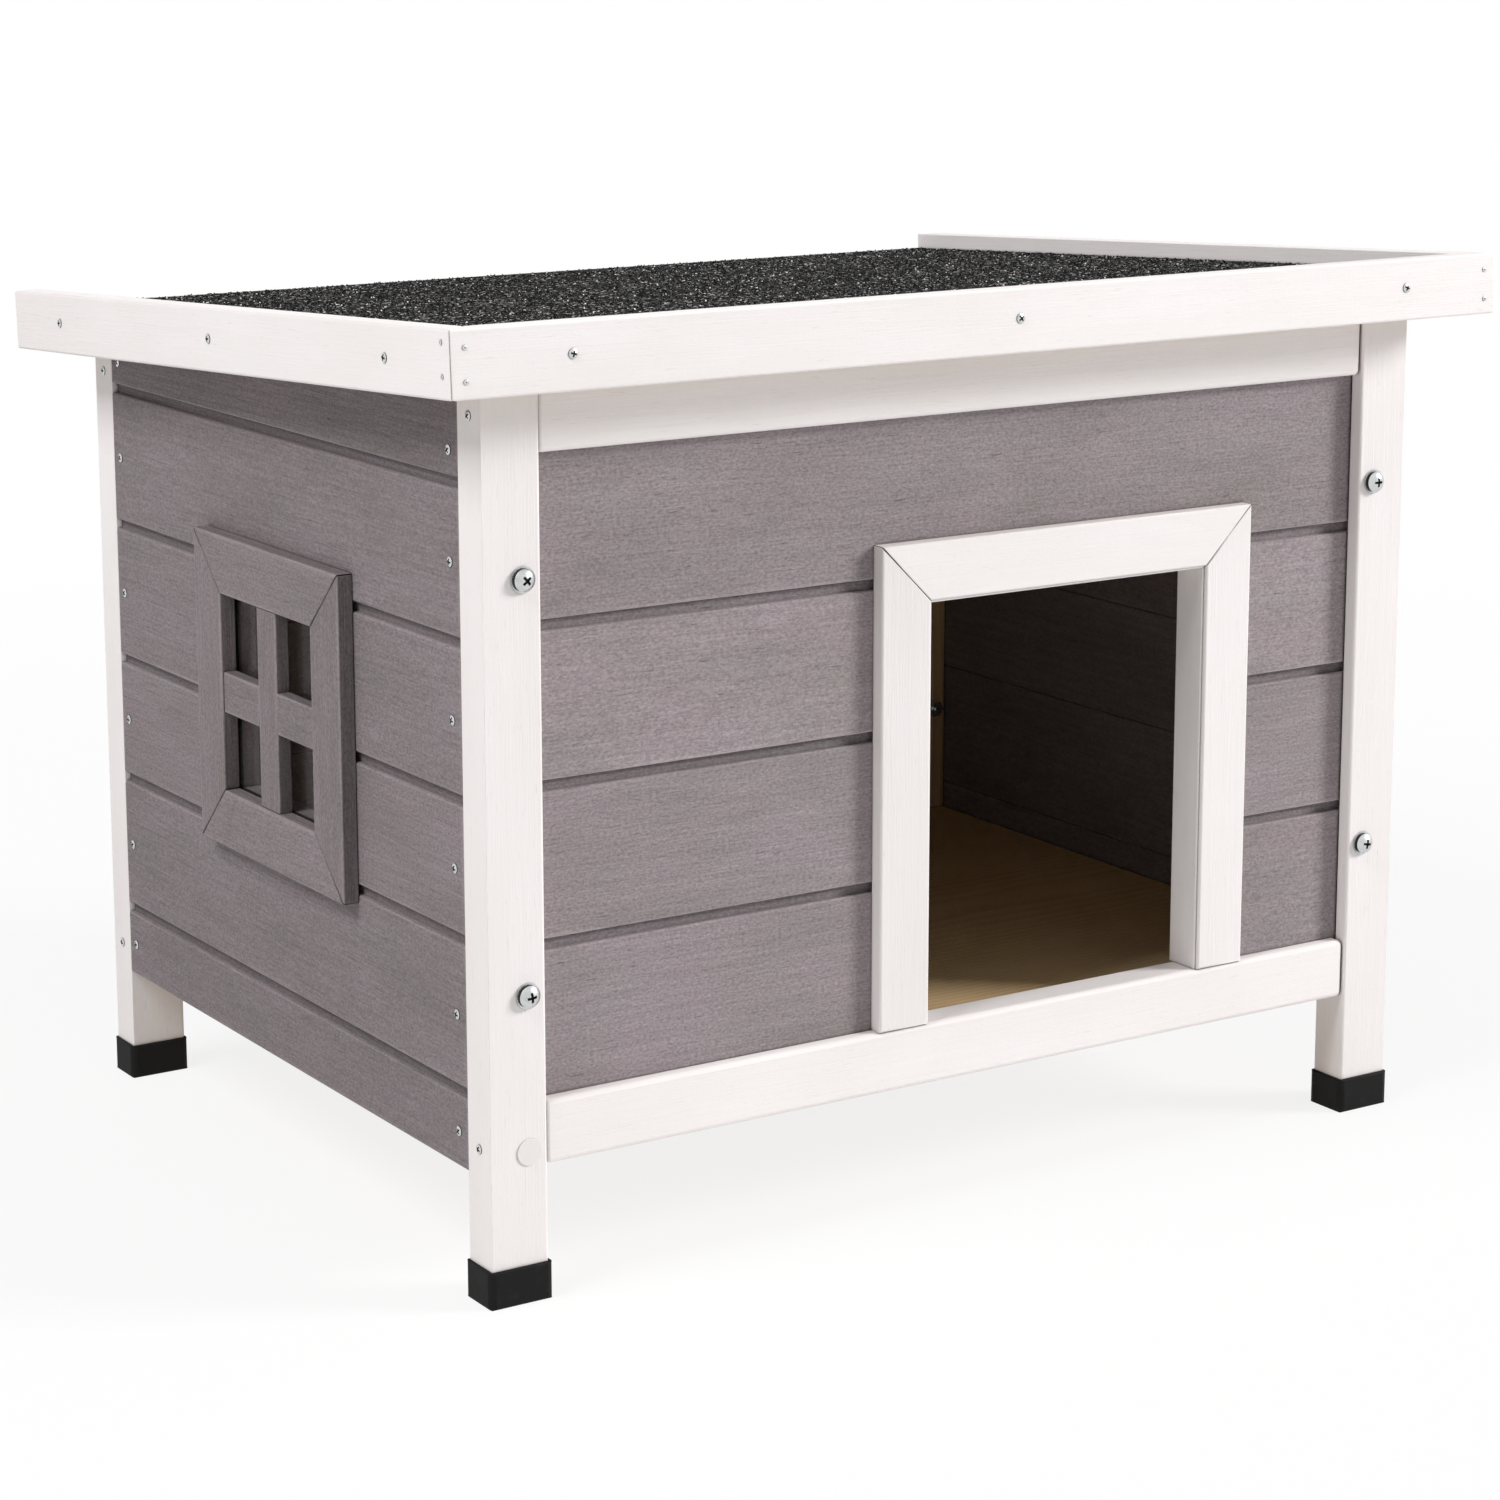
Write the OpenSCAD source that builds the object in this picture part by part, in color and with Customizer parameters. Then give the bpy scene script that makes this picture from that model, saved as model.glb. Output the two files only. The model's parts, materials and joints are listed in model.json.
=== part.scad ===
// Outdoor pet house: a boarded timber cabin on four capped legs. The front wall has a framed
// doorway and the left wall a barred window. The felted roof falls to the rear and opens on two
// hinges there. +X runs to the right along the front, the doorway faces -Y, and Z is up from the
// ground. The origin is on the ground, under the middle of the roof.

/* [House] */
// Width across the outer faces of the legs
house_w = 512; // [460:1:560]
// Depth from the front of the front legs to the rear of the rear legs
house_d = 400; // [340:1:410]

/* [Legs] */
// Width of a leg along X
leg_w = 28; // [27:0.5:40]
// Depth of a leg along Y
leg_d = 20; // [20:0.5:32]

/* [Foot caps] */
// Height of a foot cap
cap_h = 17; // [10:0.5:40]
// Thickness of a foot cap's sides
cap_wall = 1.5; // [1:0.1:3]
// Thickness of a foot cap's floor
cap_floor = 2; // [1:0.1:5]

/* [Rails] */
// Height of the bottom rails above the ground
rail_z = 60; // [58:1:80]
// Height of the face of a bottom rail
rail_h = 29; // [24:0.5:40]
// Height of the face of a top rail
top_rail_h = 36; // [28:0.5:45]
// How far a rail's face lies behind the face of the legs
rail_setback = 1.5; // [0.5:0.1:4]
// Radius of a rail's corners
rail_corner_r = 3; // [1:0.5:6]

/* [Front and rear boards] */
// Thickness of a wall board
board_t = 11; // [9:0.5:11]
// Face height of a front or rear board
board_h = 70; // [62:0.5:80]
// How far the backs of the front and rear boards lie short of the legs' inner side
board_gap = 1; // [0.5:0.1:3]
// How far the boards reach behind the legs and rails
board_lap = 5; // [3:0.5:6]
// Height of the open groove between two boards
groove_h = 5; // [2:0.5:10]
// Depth of the open groove between two boards
groove_depth = 3; // [1:0.1:4]
// Thickness of a tongue
tongue_t = 3; // [2:0.1:4]
// Height of a tongue
tongue_h = 4; // [2:0.1:8]

/* [Side boards] */
// Height of the underside of a side wall above the ground
side_z = 57; // [50:1:70]
// Face height of the lowest side board
side_sill_h = 37; // [30:0.5:50]
// Face height of a full side board
side_board_h = 68.5; // [62:0.5:72]
// Face height of the narrow side board
side_narrow_h = 61.5; // [52:0.5:68]
// Face height of the front end of the top side board, which the roof's slope cuts
side_top_h = 45.45; // [38:0.05:60]
// Side of a square batten
batten = 16; // [14:0.5:20]

/* [Doorway] */
// Width of the doorway
door_w = 160; // [120:1:200]
// Height of the board that bridges the doorway, over the opening
door_bridge = 11.5; // [6:0.5:30]
// Width of the boards that show to the right of the doorway's moulding
door_margin = 66.5; // [40:0.5:120]
// Width of the moulding round the doorway
door_trim_w = 27; // [18:0.5:35]
// Thickness of the moulding round the doorway
door_trim_t = 7; // [4:0.5:8]

/* [Window] */
// Side of the square opening in the left wall
window_size = 95; // [70:1:110]
// Distance of the window's middle behind the front of the legs
window_y = 195; // [130:1:230]
// Height of the window's middle above the joint behind it
window_up = 5.5; // [0:0.5:15]
// Width of the moulding round the window
window_trim_w = 28; // [16:0.5:35]
// Thickness of the moulding round the window
window_trim_t = 8; // [4:0.5:12]
// Width of the window's bars
bar_w = 19.5; // [10:0.5:25]
// Thickness of the window's bars
bar_t = 7; // [3:0.5:10]
// Thickness of the clear pane
pane_t = 2; // [1:0.1:3]
// How far the pane reaches behind the moulding
pane_lap = 5; // [3:0.5:8]

/* [Floor] */
// Thickness of the floor panel
floor_t = 6; // [4:0.5:10]

/* [Bolts] */
// Diameter of an assembly bolt
bolt_d = 5; // [4:0.5:6]
// Diameter of a bolt's domed head
bolt_head_d = 10; // [8:0.5:12]
// Height of a bolt's domed head
bolt_head_h = 3.6; // [2:0.1:4.5]
// Depth of the cross recess in a bolt's head
recess_depth = 1.8; // [1:0.1:1.9]
// Width of the cross recess in a bolt's head
recess_w = 1; // [0.6:0.1:1.6]
// Diameter of a washer
washer_d = 11.5; // [9:0.5:14]
// Thickness of a washer
washer_t = 1; // [0.6:0.1:2]
// Width of a nut across its flats
nut_w = 8; // [7:0.5:10]
// Thickness of a nut
nut_t = 4; // [2:0.5:6]
// How far a bolt's end stands out of its nut
bolt_tail = 2; // [0.5:0.5:6]
// Distance of a bolt's axis from the end of the boards' rebate in the leg
bolt_inset = 3.8; // [3.3:0.1:8]
// Height of the lower bolts above the screws of the second side board
bolt_low_up = 12.25; // [6:0.25:20]
// Distance of the upper bolts below the screws of the fifth side board
bolt_high_down = 5.25; // [4.5:0.25:12]

/* [Cover disc] */
// Diameter of the cover disc low on the front left leg
plug_d = 12; // [9:0.5:14]
// Height of the cover disc's middle above the ground
plug_z = 68; // [45:1:110]
// Depth of the cover disc's stem
plug_depth = 3; // [2:0.5:6]
// How far the cover disc stands out
plug_proud = 0.6; // [0.3:0.1:2]

/* [Screws] */
// Diameter of a wood screw's head
screw_head_d = 4.4; // [3.6:0.1:5]
// How far a wood screw's head stands out
screw_head_h = 0.9; // [0.4:0.1:1.2]
// Diameter of a wood screw
screw_d = 2.6; // [1.5:0.1:3]
// Length of a side board's screw
board_screw_len = 20; // [14:0.5:24]
// Distance of a side board's screw from the board's end
screw_inset = 8; // [6:0.5:10]
// Height of the top side board's screws above its lower edge
top_screw_up = 11; // [6:0.5:14]
// Length of a screw through a leg into a rail
leg_screw_len = 45; // [34:1:60]
// Height of a leg's lower screw above the underside of the bottom rail
leg_screw_up = 10; // [7:0.5:18]
// Height of a leg's upper screw above the underside of the top rail
leg_screw_top_up = 17; // [12:0.5:22]
// Length of an edging board's screw
fascia_screw_len = 24; // [18:0.5:34]
// Distance of an edging board's screw from the end of the board
fascia_screw_inset = 57; // [30:1:120]
// Distance of an edging board's screw below the board's top
fascia_screw_drop = 14; // [13:0.5:17]

/* [Nails] */
// Diameter of a nail
nail_d = 1.2; // [0.8:0.1:1.6]
// Diameter of a nail's head
nail_head_d = 2.4; // [1.8:0.1:3.2]
// Thickness of a nail's head
nail_head_h = 0.4; // [0.2:0.1:0.6]
// Length of a front or rear board's nail
board_nail_len = 15; // [12:0.5:16]
// Length of a corner nail of the edging
corner_nail_len = 20; // [16:0.5:30]
// Distance of a corner nail from the roof's corner
corner_nail_inset = 7; // [5:0.5:9]
// Distance of the upper corner nails below the edging's top
corner_nail_high = 8; // [5:0.5:10]
// Distance of the lower corner nails below the edging's top
corner_nail_low = 22; // [17:0.5:23]
// How far the side nails of a corner lie above the front ones
corner_nail_shift = 2.6; // [2:0.1:4]

/* [Roof] */
// How far the roof falls from front to rear
roof_fall = 26; // [16:1:30]
// How far the roof stands out in front of the legs
front_overhang = 28; // [20:1:60]
// How far the roof stands out behind the legs
rear_overhang = 31.3; // [26:0.1:60]
// How far the roof stands out at each side of the legs
side_overhang = 29; // [18:0.5:60]
// Height of the edging boards
fascia_h = 29; // [25:0.5:40]
// Thickness of the edging boards
fascia_t = 14; // [10:0.5:18]
// Thickness of the roof deck
deck_t = 10; // [9:0.5:13]
// Thickness of the roofing felt
felt_t = 2.5; // [1:0.1:3]
// How far the felt lies below the top of the edging
felt_drop = 8; // [4:0.5:9]

/* [Hinges] */
// Length of a hinge along its pin
hinge_len = 42; // [30:1:70]
// Width of a hinge leaf, from the pin's axis
leaf_w = 20; // [17:0.5:24]
// Thickness of a hinge leaf
leaf_t = 1.2; // [0.8:0.1:1.4]
// Radius of a hinge knuckle
knuckle_r = 3; // [2.6:0.1:4]
// Diameter of a hinge pin
hinge_pin_d = 3; // [2:0.1:3.4]
// Thickness of a hinge pin's heads
pin_head_h = 0.8; // [0.4:0.1:2]
// Distance of each hinge from the house's middle
hinge_x = 140; // [60:1:180]
// Length of a hinge leaf's screw
hinge_screw_len = 10; // [6:0.5:10]
// Distance of a leaf's screws from the leaf's ends
leaf_screw_end = 7; // [4:0.5:12]
// Distance of a leaf's screws from the pin's axis
leaf_screw_out = 13; // [8:0.5:14]

/* [Hidden] */
$fn = 48;

// Clearances
fit = 0.2; // between pieces of wood that slide together
seat_gap = 0.3; // between the closed roof and the walls
pin_play = 0.05; // round a hinge pin
bolt_play = 0.25; // round an assembly bolt
pilot_play = 0.1; // round a screw or nail
pilot_end = 0.5; // beyond the end of a screw or nail
axis_gap = 0.4; // between the hinge knuckles and the deck
knuckle_gap = 0.3; // between two knuckles, and round a knuckle in the other leaf
eps = 1; // how far a cutting shape runs past a face

// Colours
white_wood = "#efeae6";
grey_wood = "#8b8385";
bare_wood = "#c9b48f";
black_plastic = "#1c1c1e";
felt_black = "#2b2b2d";
zinc = "#c4c6c8";
clear = [0.75, 0.82, 0.85, 0.4];

// The roof's own frame: its front top edge is at Y = 0 and Z = 0, and it runs back along +Y.
// It rests on the walls, so its height follows the side boards.
roof_w = house_w + 2 * side_overhang;
roof_run = front_overhang + house_d + rear_overhang;
pitch = atan(roof_fall / roof_run);
roof_len = roof_run / cos(pitch);
lid_depth = felt_drop + felt_t + deck_t; // from the top of the edging to the deck's underside
roof_y0 = (fascia_h * sin(pitch) - roof_run) / 2;
side_heights = [side_sill_h, side_board_h, side_narrow_h, side_board_h, side_board_h];
side_count = len(side_heights) + 1;
// Lower edge of a side board, counted from 1 at the bottom
function side_joint(n) = n == 1 ? side_z : side_joint(n - 1) + side_heights[n - 2];
roof_front_h = side_joint(side_count) + side_top_h + (front_overhang + leg_d) * tan(pitch)
    + (lid_depth + seat_gap) / cos(pitch);
module on_roof() {
    translate([0, roof_y0, roof_front_h]) rotate([-pitch, 0, 0]) children();
}
// Height of a plane that lies depth below the roof's top, at a given Y
function under_top(y, depth) = roof_front_h - (y - roof_y0) * tan(pitch) - depth / cos(pitch);
function wall_top(y) = under_top(y, lid_depth + seat_gap);

// Main planes
half_w = house_w / 2;
half_d = house_d / 2;
front = roof_y0 + front_overhang;
rear = front + house_d;
mid_y = front + half_d;
inner_x = half_w - leg_w; // inner faces of the legs
side_half = half_d - leg_d; // half the length of a side wall
tall = roof_front_h; // higher than any wall, before the roof's slope trims it

// Rails and boards
board_setback = leg_d - board_t - board_gap; // from the legs' face to the front and rear boards
rail_t = leg_d - rail_setback;
rail_top = rail_z + rail_h;
front_top_rail_z = wall_top(front + rail_setback) - top_rail_h;
rear_top_rail_z = wall_top(rear - rail_setback) - top_rail_h;
function top_rail_z(y) = y < 0 ? front_top_rail_z : rear_top_rail_z;
rebate = board_lap + fit; // how far a rebate reaches into a leg or rail
rebate_t = leg_d - board_setback + fit; // depth of a rebate from a leg's inner side
board_x = inner_x + board_lap; // ends of the front and rear boards
board_count = 4;
// Lower edge of a front or rear board, counted from 1 at the bottom, and its shoulder's height
function board_z(n) = n == 1 ? rail_top - board_lap : rail_top + (n - 1) * board_h;
function board_end(n, y) = n < board_count ? board_z(n + 1) : top_rail_z(y) + board_lap;
batten_x = half_w - board_t - batten / 2; // middle of a batten
bolt_x = inner_x + rebate + bolt_inset;
floor_z = side_z + batten;

// Doorway and window
door_x1 = inner_x - door_margin - door_trim_w;
door_x0 = door_x1 - door_w;
door_top = board_z(board_count) - door_bridge;
window_mid_y = front + window_y;
window_z = side_joint(4) + window_up;

// Cut to lie under the closed roof
module under_roof() {
    intersection() {
        children();
        on_roof() translate([-roof_w, -roof_len, -lid_depth - seat_gap - 2 * tall])
            cube([2 * roof_w, 3 * roof_len, 2 * tall]);
    }
}

// Drawn for the rear right corner round the house's middle, then mirrored to the left for
// x = -1 and to the front for y = -1
module to_corner(x, y) {
    translate([0, mid_y, 0]) mirror([(1 - x) / 2, 0, 0]) mirror([0, (1 - y) / 2, 0]) children();
}

// A shape drawn in X and Z, given a thickness along +Y
module stand(t) {
    translate([0, t, 0]) rotate([90, 0, 0]) linear_extrude(t) children();
}

// A rectangle with rounded corners
module rounded_rect(w, h, r) {
    translate([r, 0]) square([w - 2 * r, h]);
    translate([0, r]) square([w, h - 2 * r]);
    for (x = [r, w - r], y = [r, h - r]) translate([x, y]) circle(r);
}

// Fasteners are driven along +Y with the head outside Y = 0, and drill is the hole for one
module wood_screw(length) {
    top_d = screw_head_d * 0.7;
    rotate([90, 0, 0]) {
        translate([0, 0, -length]) cylinder(d = screw_d, h = length);
        cylinder(d1 = screw_head_d, d2 = top_d, h = screw_head_h);
    }
}
module nail(length) {
    rotate([90, 0, 0]) {
        translate([0, 0, -length]) cylinder(d = nail_d, h = length);
        cylinder(d = nail_head_d, h = nail_head_h);
    }
}
module drill(d, length, play) {
    rotate([-90, 0, 0]) translate([0, 0, -eps]) cylinder(d = d + 2 * play, h = length + eps);
}
module screw_hole(length) {
    drill(screw_d, length + pilot_end, pilot_play);
}
module nail_hole(length) {
    drill(nail_d, length + pilot_end, pilot_play);
}

// Places of the fasteners, drawn for the rear right corner
module at_bolts() {
    for (z = [side_mid(2) + bolt_low_up, side_mid(5) - bolt_high_down])
        translate([bolt_x, half_d, z]) rotate([0, 0, 180]) children();
}
module at_leg_screws(y) {
    for (z = [rail_z + leg_screw_up, top_rail_z(y) + leg_screw_top_up])
        translate([half_w, half_d - leg_d / 2, z]) rotate([0, 0, 90]) children();
}
side_screw_y = side_half - screw_inset;
// Middle of a side board's face, under its groove
function side_mid(n) = (side_joint(n) + side_joint(n + 1) - groove_h) / 2;
function side_screw_z(n, y) = n < side_count
    ? side_mid(n)
    : min(side_joint(n) + top_screw_up, (side_joint(n) + wall_top(mid_y + y * side_screw_y)) / 2);
module at_side_screw(n, y) {
    translate([half_w, side_screw_y, side_screw_z(n, y)]) rotate([0, 0, 90]) children();
}
module at_board_nail(n, y) {
    translate([(inner_x + board_x) / 2, half_d - board_setback - board_t, (board_z(n) + board_end(n, y)) / 2])
        children();
}

// Legs and foot caps

module leg(x, y) {
    color(white_wood) under_roof() to_corner(x, y) difference() {
        translate([inner_x, half_d - leg_d, cap_floor]) cube([leg_w, leg_d, tall]);
        translate([inner_x - eps, half_d - leg_d - eps, board_z(1) - fit])
            cube([rebate + eps, rebate_t + eps, board_end(board_count, y) - board_z(1) + 2 * fit]);
        at_bolts() drill(bolt_d, leg_d + eps, bolt_play);
        at_leg_screws(y) screw_hole(leg_screw_len);
        for (n = [1 : board_count]) at_board_nail(n, y) nail_hole(board_nail_len);
        if (x < 0 && y < 0)
            translate([bolt_x, half_d, plug_z]) rotate([0, 0, 180]) drill(plug_stem_d, plug_depth, fit);
    }
}
module foot_caps() {
    wall = fit + cap_wall;
    color(black_plastic) for (x = [-1, 1], y = [-1, 1]) to_corner(x, y) difference() {
        translate([inner_x - wall, half_d - leg_d - wall, 0])
            cube([leg_w + 2 * wall, leg_d + 2 * wall, cap_h]);
        translate([inner_x - fit, half_d - leg_d - fit, cap_floor])
            cube([leg_w + 2 * fit, leg_d + 2 * fit, cap_h]);
    }
}

// Rails

module rail(z0, z1) {
    translate([-inner_x, half_d - leg_d, z0]) stand(rail_t) rounded_rect(2 * inner_x, z1 - z0, rail_corner_r);
}
module top_rail(y) {
    color(white_wood) difference() {
        under_roof() to_corner(1, y) difference() {
            rail(top_rail_z(y), tall);
            translate([-half_w, half_d - leg_d - eps, top_rail_z(y) - eps])
                cube([house_w, rebate_t + eps, rebate + eps]);
        }
        for (x = [-1, 1]) to_corner(x, y) at_leg_screws(y) screw_hole(leg_screw_len);
        if (y > 0) at_hinges() at_wall_leaf_screws() screw_hole(hinge_screw_len);
    }
}
module bottom_rail(y) {
    color(white_wood) difference() {
        to_corner(1, y) rail(rail_z, rail_top);
        difference() {
            to_corner(1, y) translate([-half_w, half_d - leg_d - eps, rail_top - rebate])
                cube([house_w, rebate_t + eps, rebate + eps]);
            if (y < 0) doorway();
        }
        for (x = [-1, 1]) to_corner(x, y) at_leg_screws(y) screw_hole(leg_screw_len);
    }
}

// Boards

// A board along X with its face at Y = 0 and its body behind, h high. A tongue has an open
// groove in front of it, and a slot takes the tongue of the board below.
module board(length, h, tongue, slot) {
    y0 = (board_t + groove_depth - tongue_t) / 2;
    y1 = y0 + tongue_t;
    top = tongue
        ? [[0, h - groove_h], [groove_depth, h - groove_h], [groove_depth, h], [y0, h],
           [y0, h + tongue_h], [y1, h + tongue_h], [y1, h], [board_t, h]]
        : [[0, h], [board_t, h]];
    bottom = slot
        ? [[board_t, 0], [y1 + fit, 0], [y1 + fit, tongue_h + fit], [y0 - fit, tongue_h + fit],
           [y0 - fit, 0], [0, 0]]
        : [[board_t, 0], [0, 0]];
    rotate([90, 0, 90]) linear_extrude(length) polygon(concat(top, bottom));
}
// A board of the front wall for y = -1 or of the rear wall for y = 1
module end_board(n, y) {
    color(grey_wood) difference() {
        to_corner(1, y) translate([-board_x, half_d - board_setback, board_z(n)]) mirror([0, 1, 0])
            board(2 * board_x, board_end(n, y) - board_z(n), n < board_count, n > 1);
        for (x = [-1, 1]) to_corner(x, y) at_board_nail(n, y) translate([0, -eps, 0])
            nail_hole(board_nail_len + eps);
        if (y < 0) doorway();
    }
}
// The piece of a front board to the left of the doorway for x = -1 or to its right for x = 1
module front_board_piece(n, x) {
    intersection() {
        end_board(n, -1);
        translate([(door_x0 + door_x1 - (1 - x) * house_w) / 2, front, 0]) cube([house_w, leg_d, tall]);
    }
}
module doorway() {
    translate([door_x0, front - eps, 0]) cube([door_w, leg_d + 2 * eps, door_top]);
}
// A board of the left wall for x = -1 or of the right wall for x = 1
module side_board(n, x) {
    z1 = n < side_count ? side_joint(n + 1) : tall;
    color(grey_wood) difference() {
        under_roof() to_corner(x, 1) translate([half_w, -side_half, side_joint(n)]) rotate([0, 0, 90])
            board(2 * side_half, z1 - side_joint(n), n < side_count, n > 1);
        for (y = [-1, 1]) to_corner(x, y) at_side_screw(n, y) screw_hole(board_screw_len);
        if (x < 0) window_hole();
    }
}
module window_hole() {
    translate([-half_w - eps, window_mid_y - window_size / 2, window_z - window_size / 2])
        cube([board_t + 2 * eps, window_size, window_size]);
    side = window_size + 2 * pane_lap;
    translate([-half_w - eps, window_mid_y - side / 2, window_z - side / 2])
        cube([pane_t + eps, side, side]);
}

// Battens, cleats and floor

module side_battens() {
    color(bare_wood) for (x = [-1, 1], y = [-1, 1]) under_roof() to_corner(x, y) difference() {
        translate([batten_x - batten / 2, side_half - batten, side_z]) cube([batten, batten, tall]);
        at_bolts() drill(bolt_d, leg_d + batten + eps, bolt_play);
        for (n = [1 : side_count]) at_side_screw(n, y) screw_hole(board_screw_len);
    }
}
module floor_cleats() {
    color(bare_wood) for (x = [-1, 1]) to_corner(x, 1)
        translate([batten_x - batten / 2, batten - side_half, side_z])
            cube([batten, 2 * (side_half - batten), batten]);
}
module floor_panel() {
    x1 = half_w - board_t - fit;
    y1 = side_half - fit;
    color(bare_wood) difference() {
        translate([-x1, mid_y - y1, floor_z]) cube([2 * x1, 2 * y1, floor_t]);
        for (x = [-1, 1], y = [-1, 1]) to_corner(x, y)
            translate([x1 - batten, y1 - batten, floor_z - eps])
                cube([batten + eps, batten + eps, floor_t + 2 * eps]);
    }
}

// Doorway moulding, mitred at its upper corners

module door_trim(points) {
    color(white_wood) translate([0, front + board_setback - door_trim_t, 0])
        stand(door_trim_t) polygon(points);
}
door_trim_x0 = door_x0 - door_trim_w;
door_trim_x1 = door_x1 + door_trim_w;
door_trim_end = door_top + door_trim_w;
module door_trim_left() {
    door_trim([[door_trim_x0, rail_top], [door_x0, rail_top], [door_x0, door_top],
        [door_trim_x0, door_trim_end]]);
}
module door_trim_right() {
    door_trim([[door_x1, rail_top], [door_trim_x1, rail_top], [door_trim_x1, door_trim_end],
        [door_x1, door_top]]);
}
module door_trim_top() {
    door_trim([[door_x0, door_top], [door_x1, door_top], [door_trim_x1, door_trim_end],
        [door_trim_x0, door_trim_end]]);
}

// Window

// A shape drawn round the window's middle, its first axis to the front and its second up,
// given a thickness outwards from the face of the left wall
module on_left_wall(t) {
    translate([-half_w, window_mid_y, window_z]) rotate([90, 0, -90]) linear_extrude(t) children();
}
// A mitred side of the window moulding: the upper one, or turned by a number of quarters
module window_trim(quarters) {
    a = window_size / 2;
    b = a + window_trim_w;
    color(grey_wood) on_left_wall(window_trim_t) rotate(quarters * 90)
        polygon([[-a, a], [a, a], [b, b], [-b, b]]);
}
module window_bar_upright() {
    color(grey_wood) on_left_wall(bar_t)
        translate([-bar_w / 2, -window_size / 2]) square([bar_w, window_size]);
}
module window_bar_cross() {
    half = (window_size - bar_w) / 2;
    color(grey_wood) on_left_wall(bar_t)
        for (x = [-window_size / 2, bar_w / 2]) translate([x, -bar_w / 2]) square([half, bar_w]);
}
module window_pane() {
    color(clear) translate([pane_t, 0, 0]) on_left_wall(pane_t)
        square(window_size + 2 * (pane_lap - fit), center = true);
}

// Bolts, washers, nuts and the cover disc

bolt_len = washer_t + leg_d + batten + nut_t + bolt_tail;
module bolt() {
    dome_r = (pow(bolt_head_d / 2, 2) + pow(bolt_head_h, 2)) / (2 * bolt_head_h);
    rotate([90, 0, 0]) translate([0, 0, washer_t]) {
        translate([0, 0, -bolt_len]) cylinder(d = bolt_d, h = bolt_len);
        difference() {
            intersection() {
                cylinder(d = bolt_head_d, h = bolt_head_h);
                translate([0, 0, bolt_head_h - dome_r]) sphere(dome_r);
            }
            for (turn = [0, 90])
                rotate(turn) translate([-bolt_d / 2, -recess_w / 2, bolt_head_h - recess_depth])
                    cube([bolt_d, recess_w, recess_depth + eps]);
        }
    }
}
module ring(h) {
    difference() {
        children();
        translate([0, 0, -eps]) cylinder(d = bolt_d + 2 * bolt_play, h = h + 2 * eps);
    }
}
module leg_bolts() {
    color(zinc) for (x = [-1, 1], y = [-1, 1]) to_corner(x, y) at_bolts() bolt();
}
module bolt_washers() {
    color(zinc) for (x = [-1, 1], y = [-1, 1]) to_corner(x, y) at_bolts()
        rotate([90, 0, 0]) ring(washer_t) cylinder(d = washer_d, h = washer_t);
}
module bolt_nuts() {
    color(zinc) for (x = [-1, 1], y = [-1, 1]) to_corner(x, y) at_bolts()
        translate([0, leg_d + batten, 0]) rotate([-90, 0, 0])
            ring(nut_t) cylinder(d = nut_w / cos(30), h = nut_t, $fn = 6);
}
plug_rim = 1; // how far the cover disc reaches over the edge of its hole
plug_stem_d = plug_d - 2 * (plug_rim + fit);
module leg_plug() {
    color(white_wood) to_corner(-1, -1) translate([bolt_x, half_d, plug_z]) rotate([-90, 0, 0]) {
        cylinder(d = plug_d, h = plug_proud);
        translate([0, 0, -plug_depth]) cylinder(d = plug_stem_d, h = plug_depth);
    }
}

// Screws and nails of the cabin

module frame_screws() {
    color(zinc) {
        for (x = [-1, 1], y = [-1, 1]) to_corner(x, y) {
            at_leg_screws(y) wood_screw(leg_screw_len);
            for (n = [1 : side_count]) at_side_screw(n, y) wood_screw(board_screw_len);
        }
        at_hinges() at_wall_leaf_screws() wood_screw(hinge_screw_len);
    }
}
module board_nails() {
    color(zinc) for (x = [-1, 1], y = [-1, 1]) to_corner(x, y)
        for (n = [1 : board_count]) at_board_nail(n, y) nail(board_nail_len);
}

// Hinges. The pins' axis lies behind the rear top rail, just under the deck.

axis_y = rear - rail_setback + knuckle_r;
axis_drop = lid_depth + axis_gap + knuckle_r; // below the roof's top, square to its slope
axis_z = under_top(axis_y, axis_drop);
axis_roof_y = (axis_y - roof_y0 + axis_drop * sin(pitch)) / cos(pitch); // along the roof's slope
roof_leaf_z = axis_gap + knuckle_r - leaf_t; // underside of a roof leaf above the axis
knuckle_len = (hinge_len - 2 * knuckle_gap) / 3;
knuckle_step = knuckle_len + knuckle_gap;

module at_hinges() {
    for (x = [-1, 1]) translate([x * hinge_x, axis_y, axis_z]) children();
}
module at_roof_hinges() {
    on_roof() for (x = [-1, 1]) translate([x * hinge_x, axis_roof_y, -axis_drop]) children();
}
module at_wall_leaf_screws() {
    for (x = [-1, 1]) translate([x * (hinge_len / 2 - leaf_screw_end), leaf_t - knuckle_r, -leaf_screw_out])
        rotate([0, 0, 180]) children();
}
module at_roof_leaf_screws() {
    for (x = [-1, 1]) translate([x * (hinge_len / 2 - leaf_screw_end), leaf_screw_out, roof_leaf_z])
        rotate([90, 0, 0]) children();
}
module pin_bore(length) {
    translate([-length / 2, 0, 0]) rotate([0, 90, 0])
        cylinder(d = hinge_pin_d + 2 * pin_play, h = length);
}
module knuckle() {
    translate([-knuckle_len / 2, 0, 0]) rotate([0, 90, 0]) cylinder(r = knuckle_r, h = knuckle_len);
}
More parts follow.
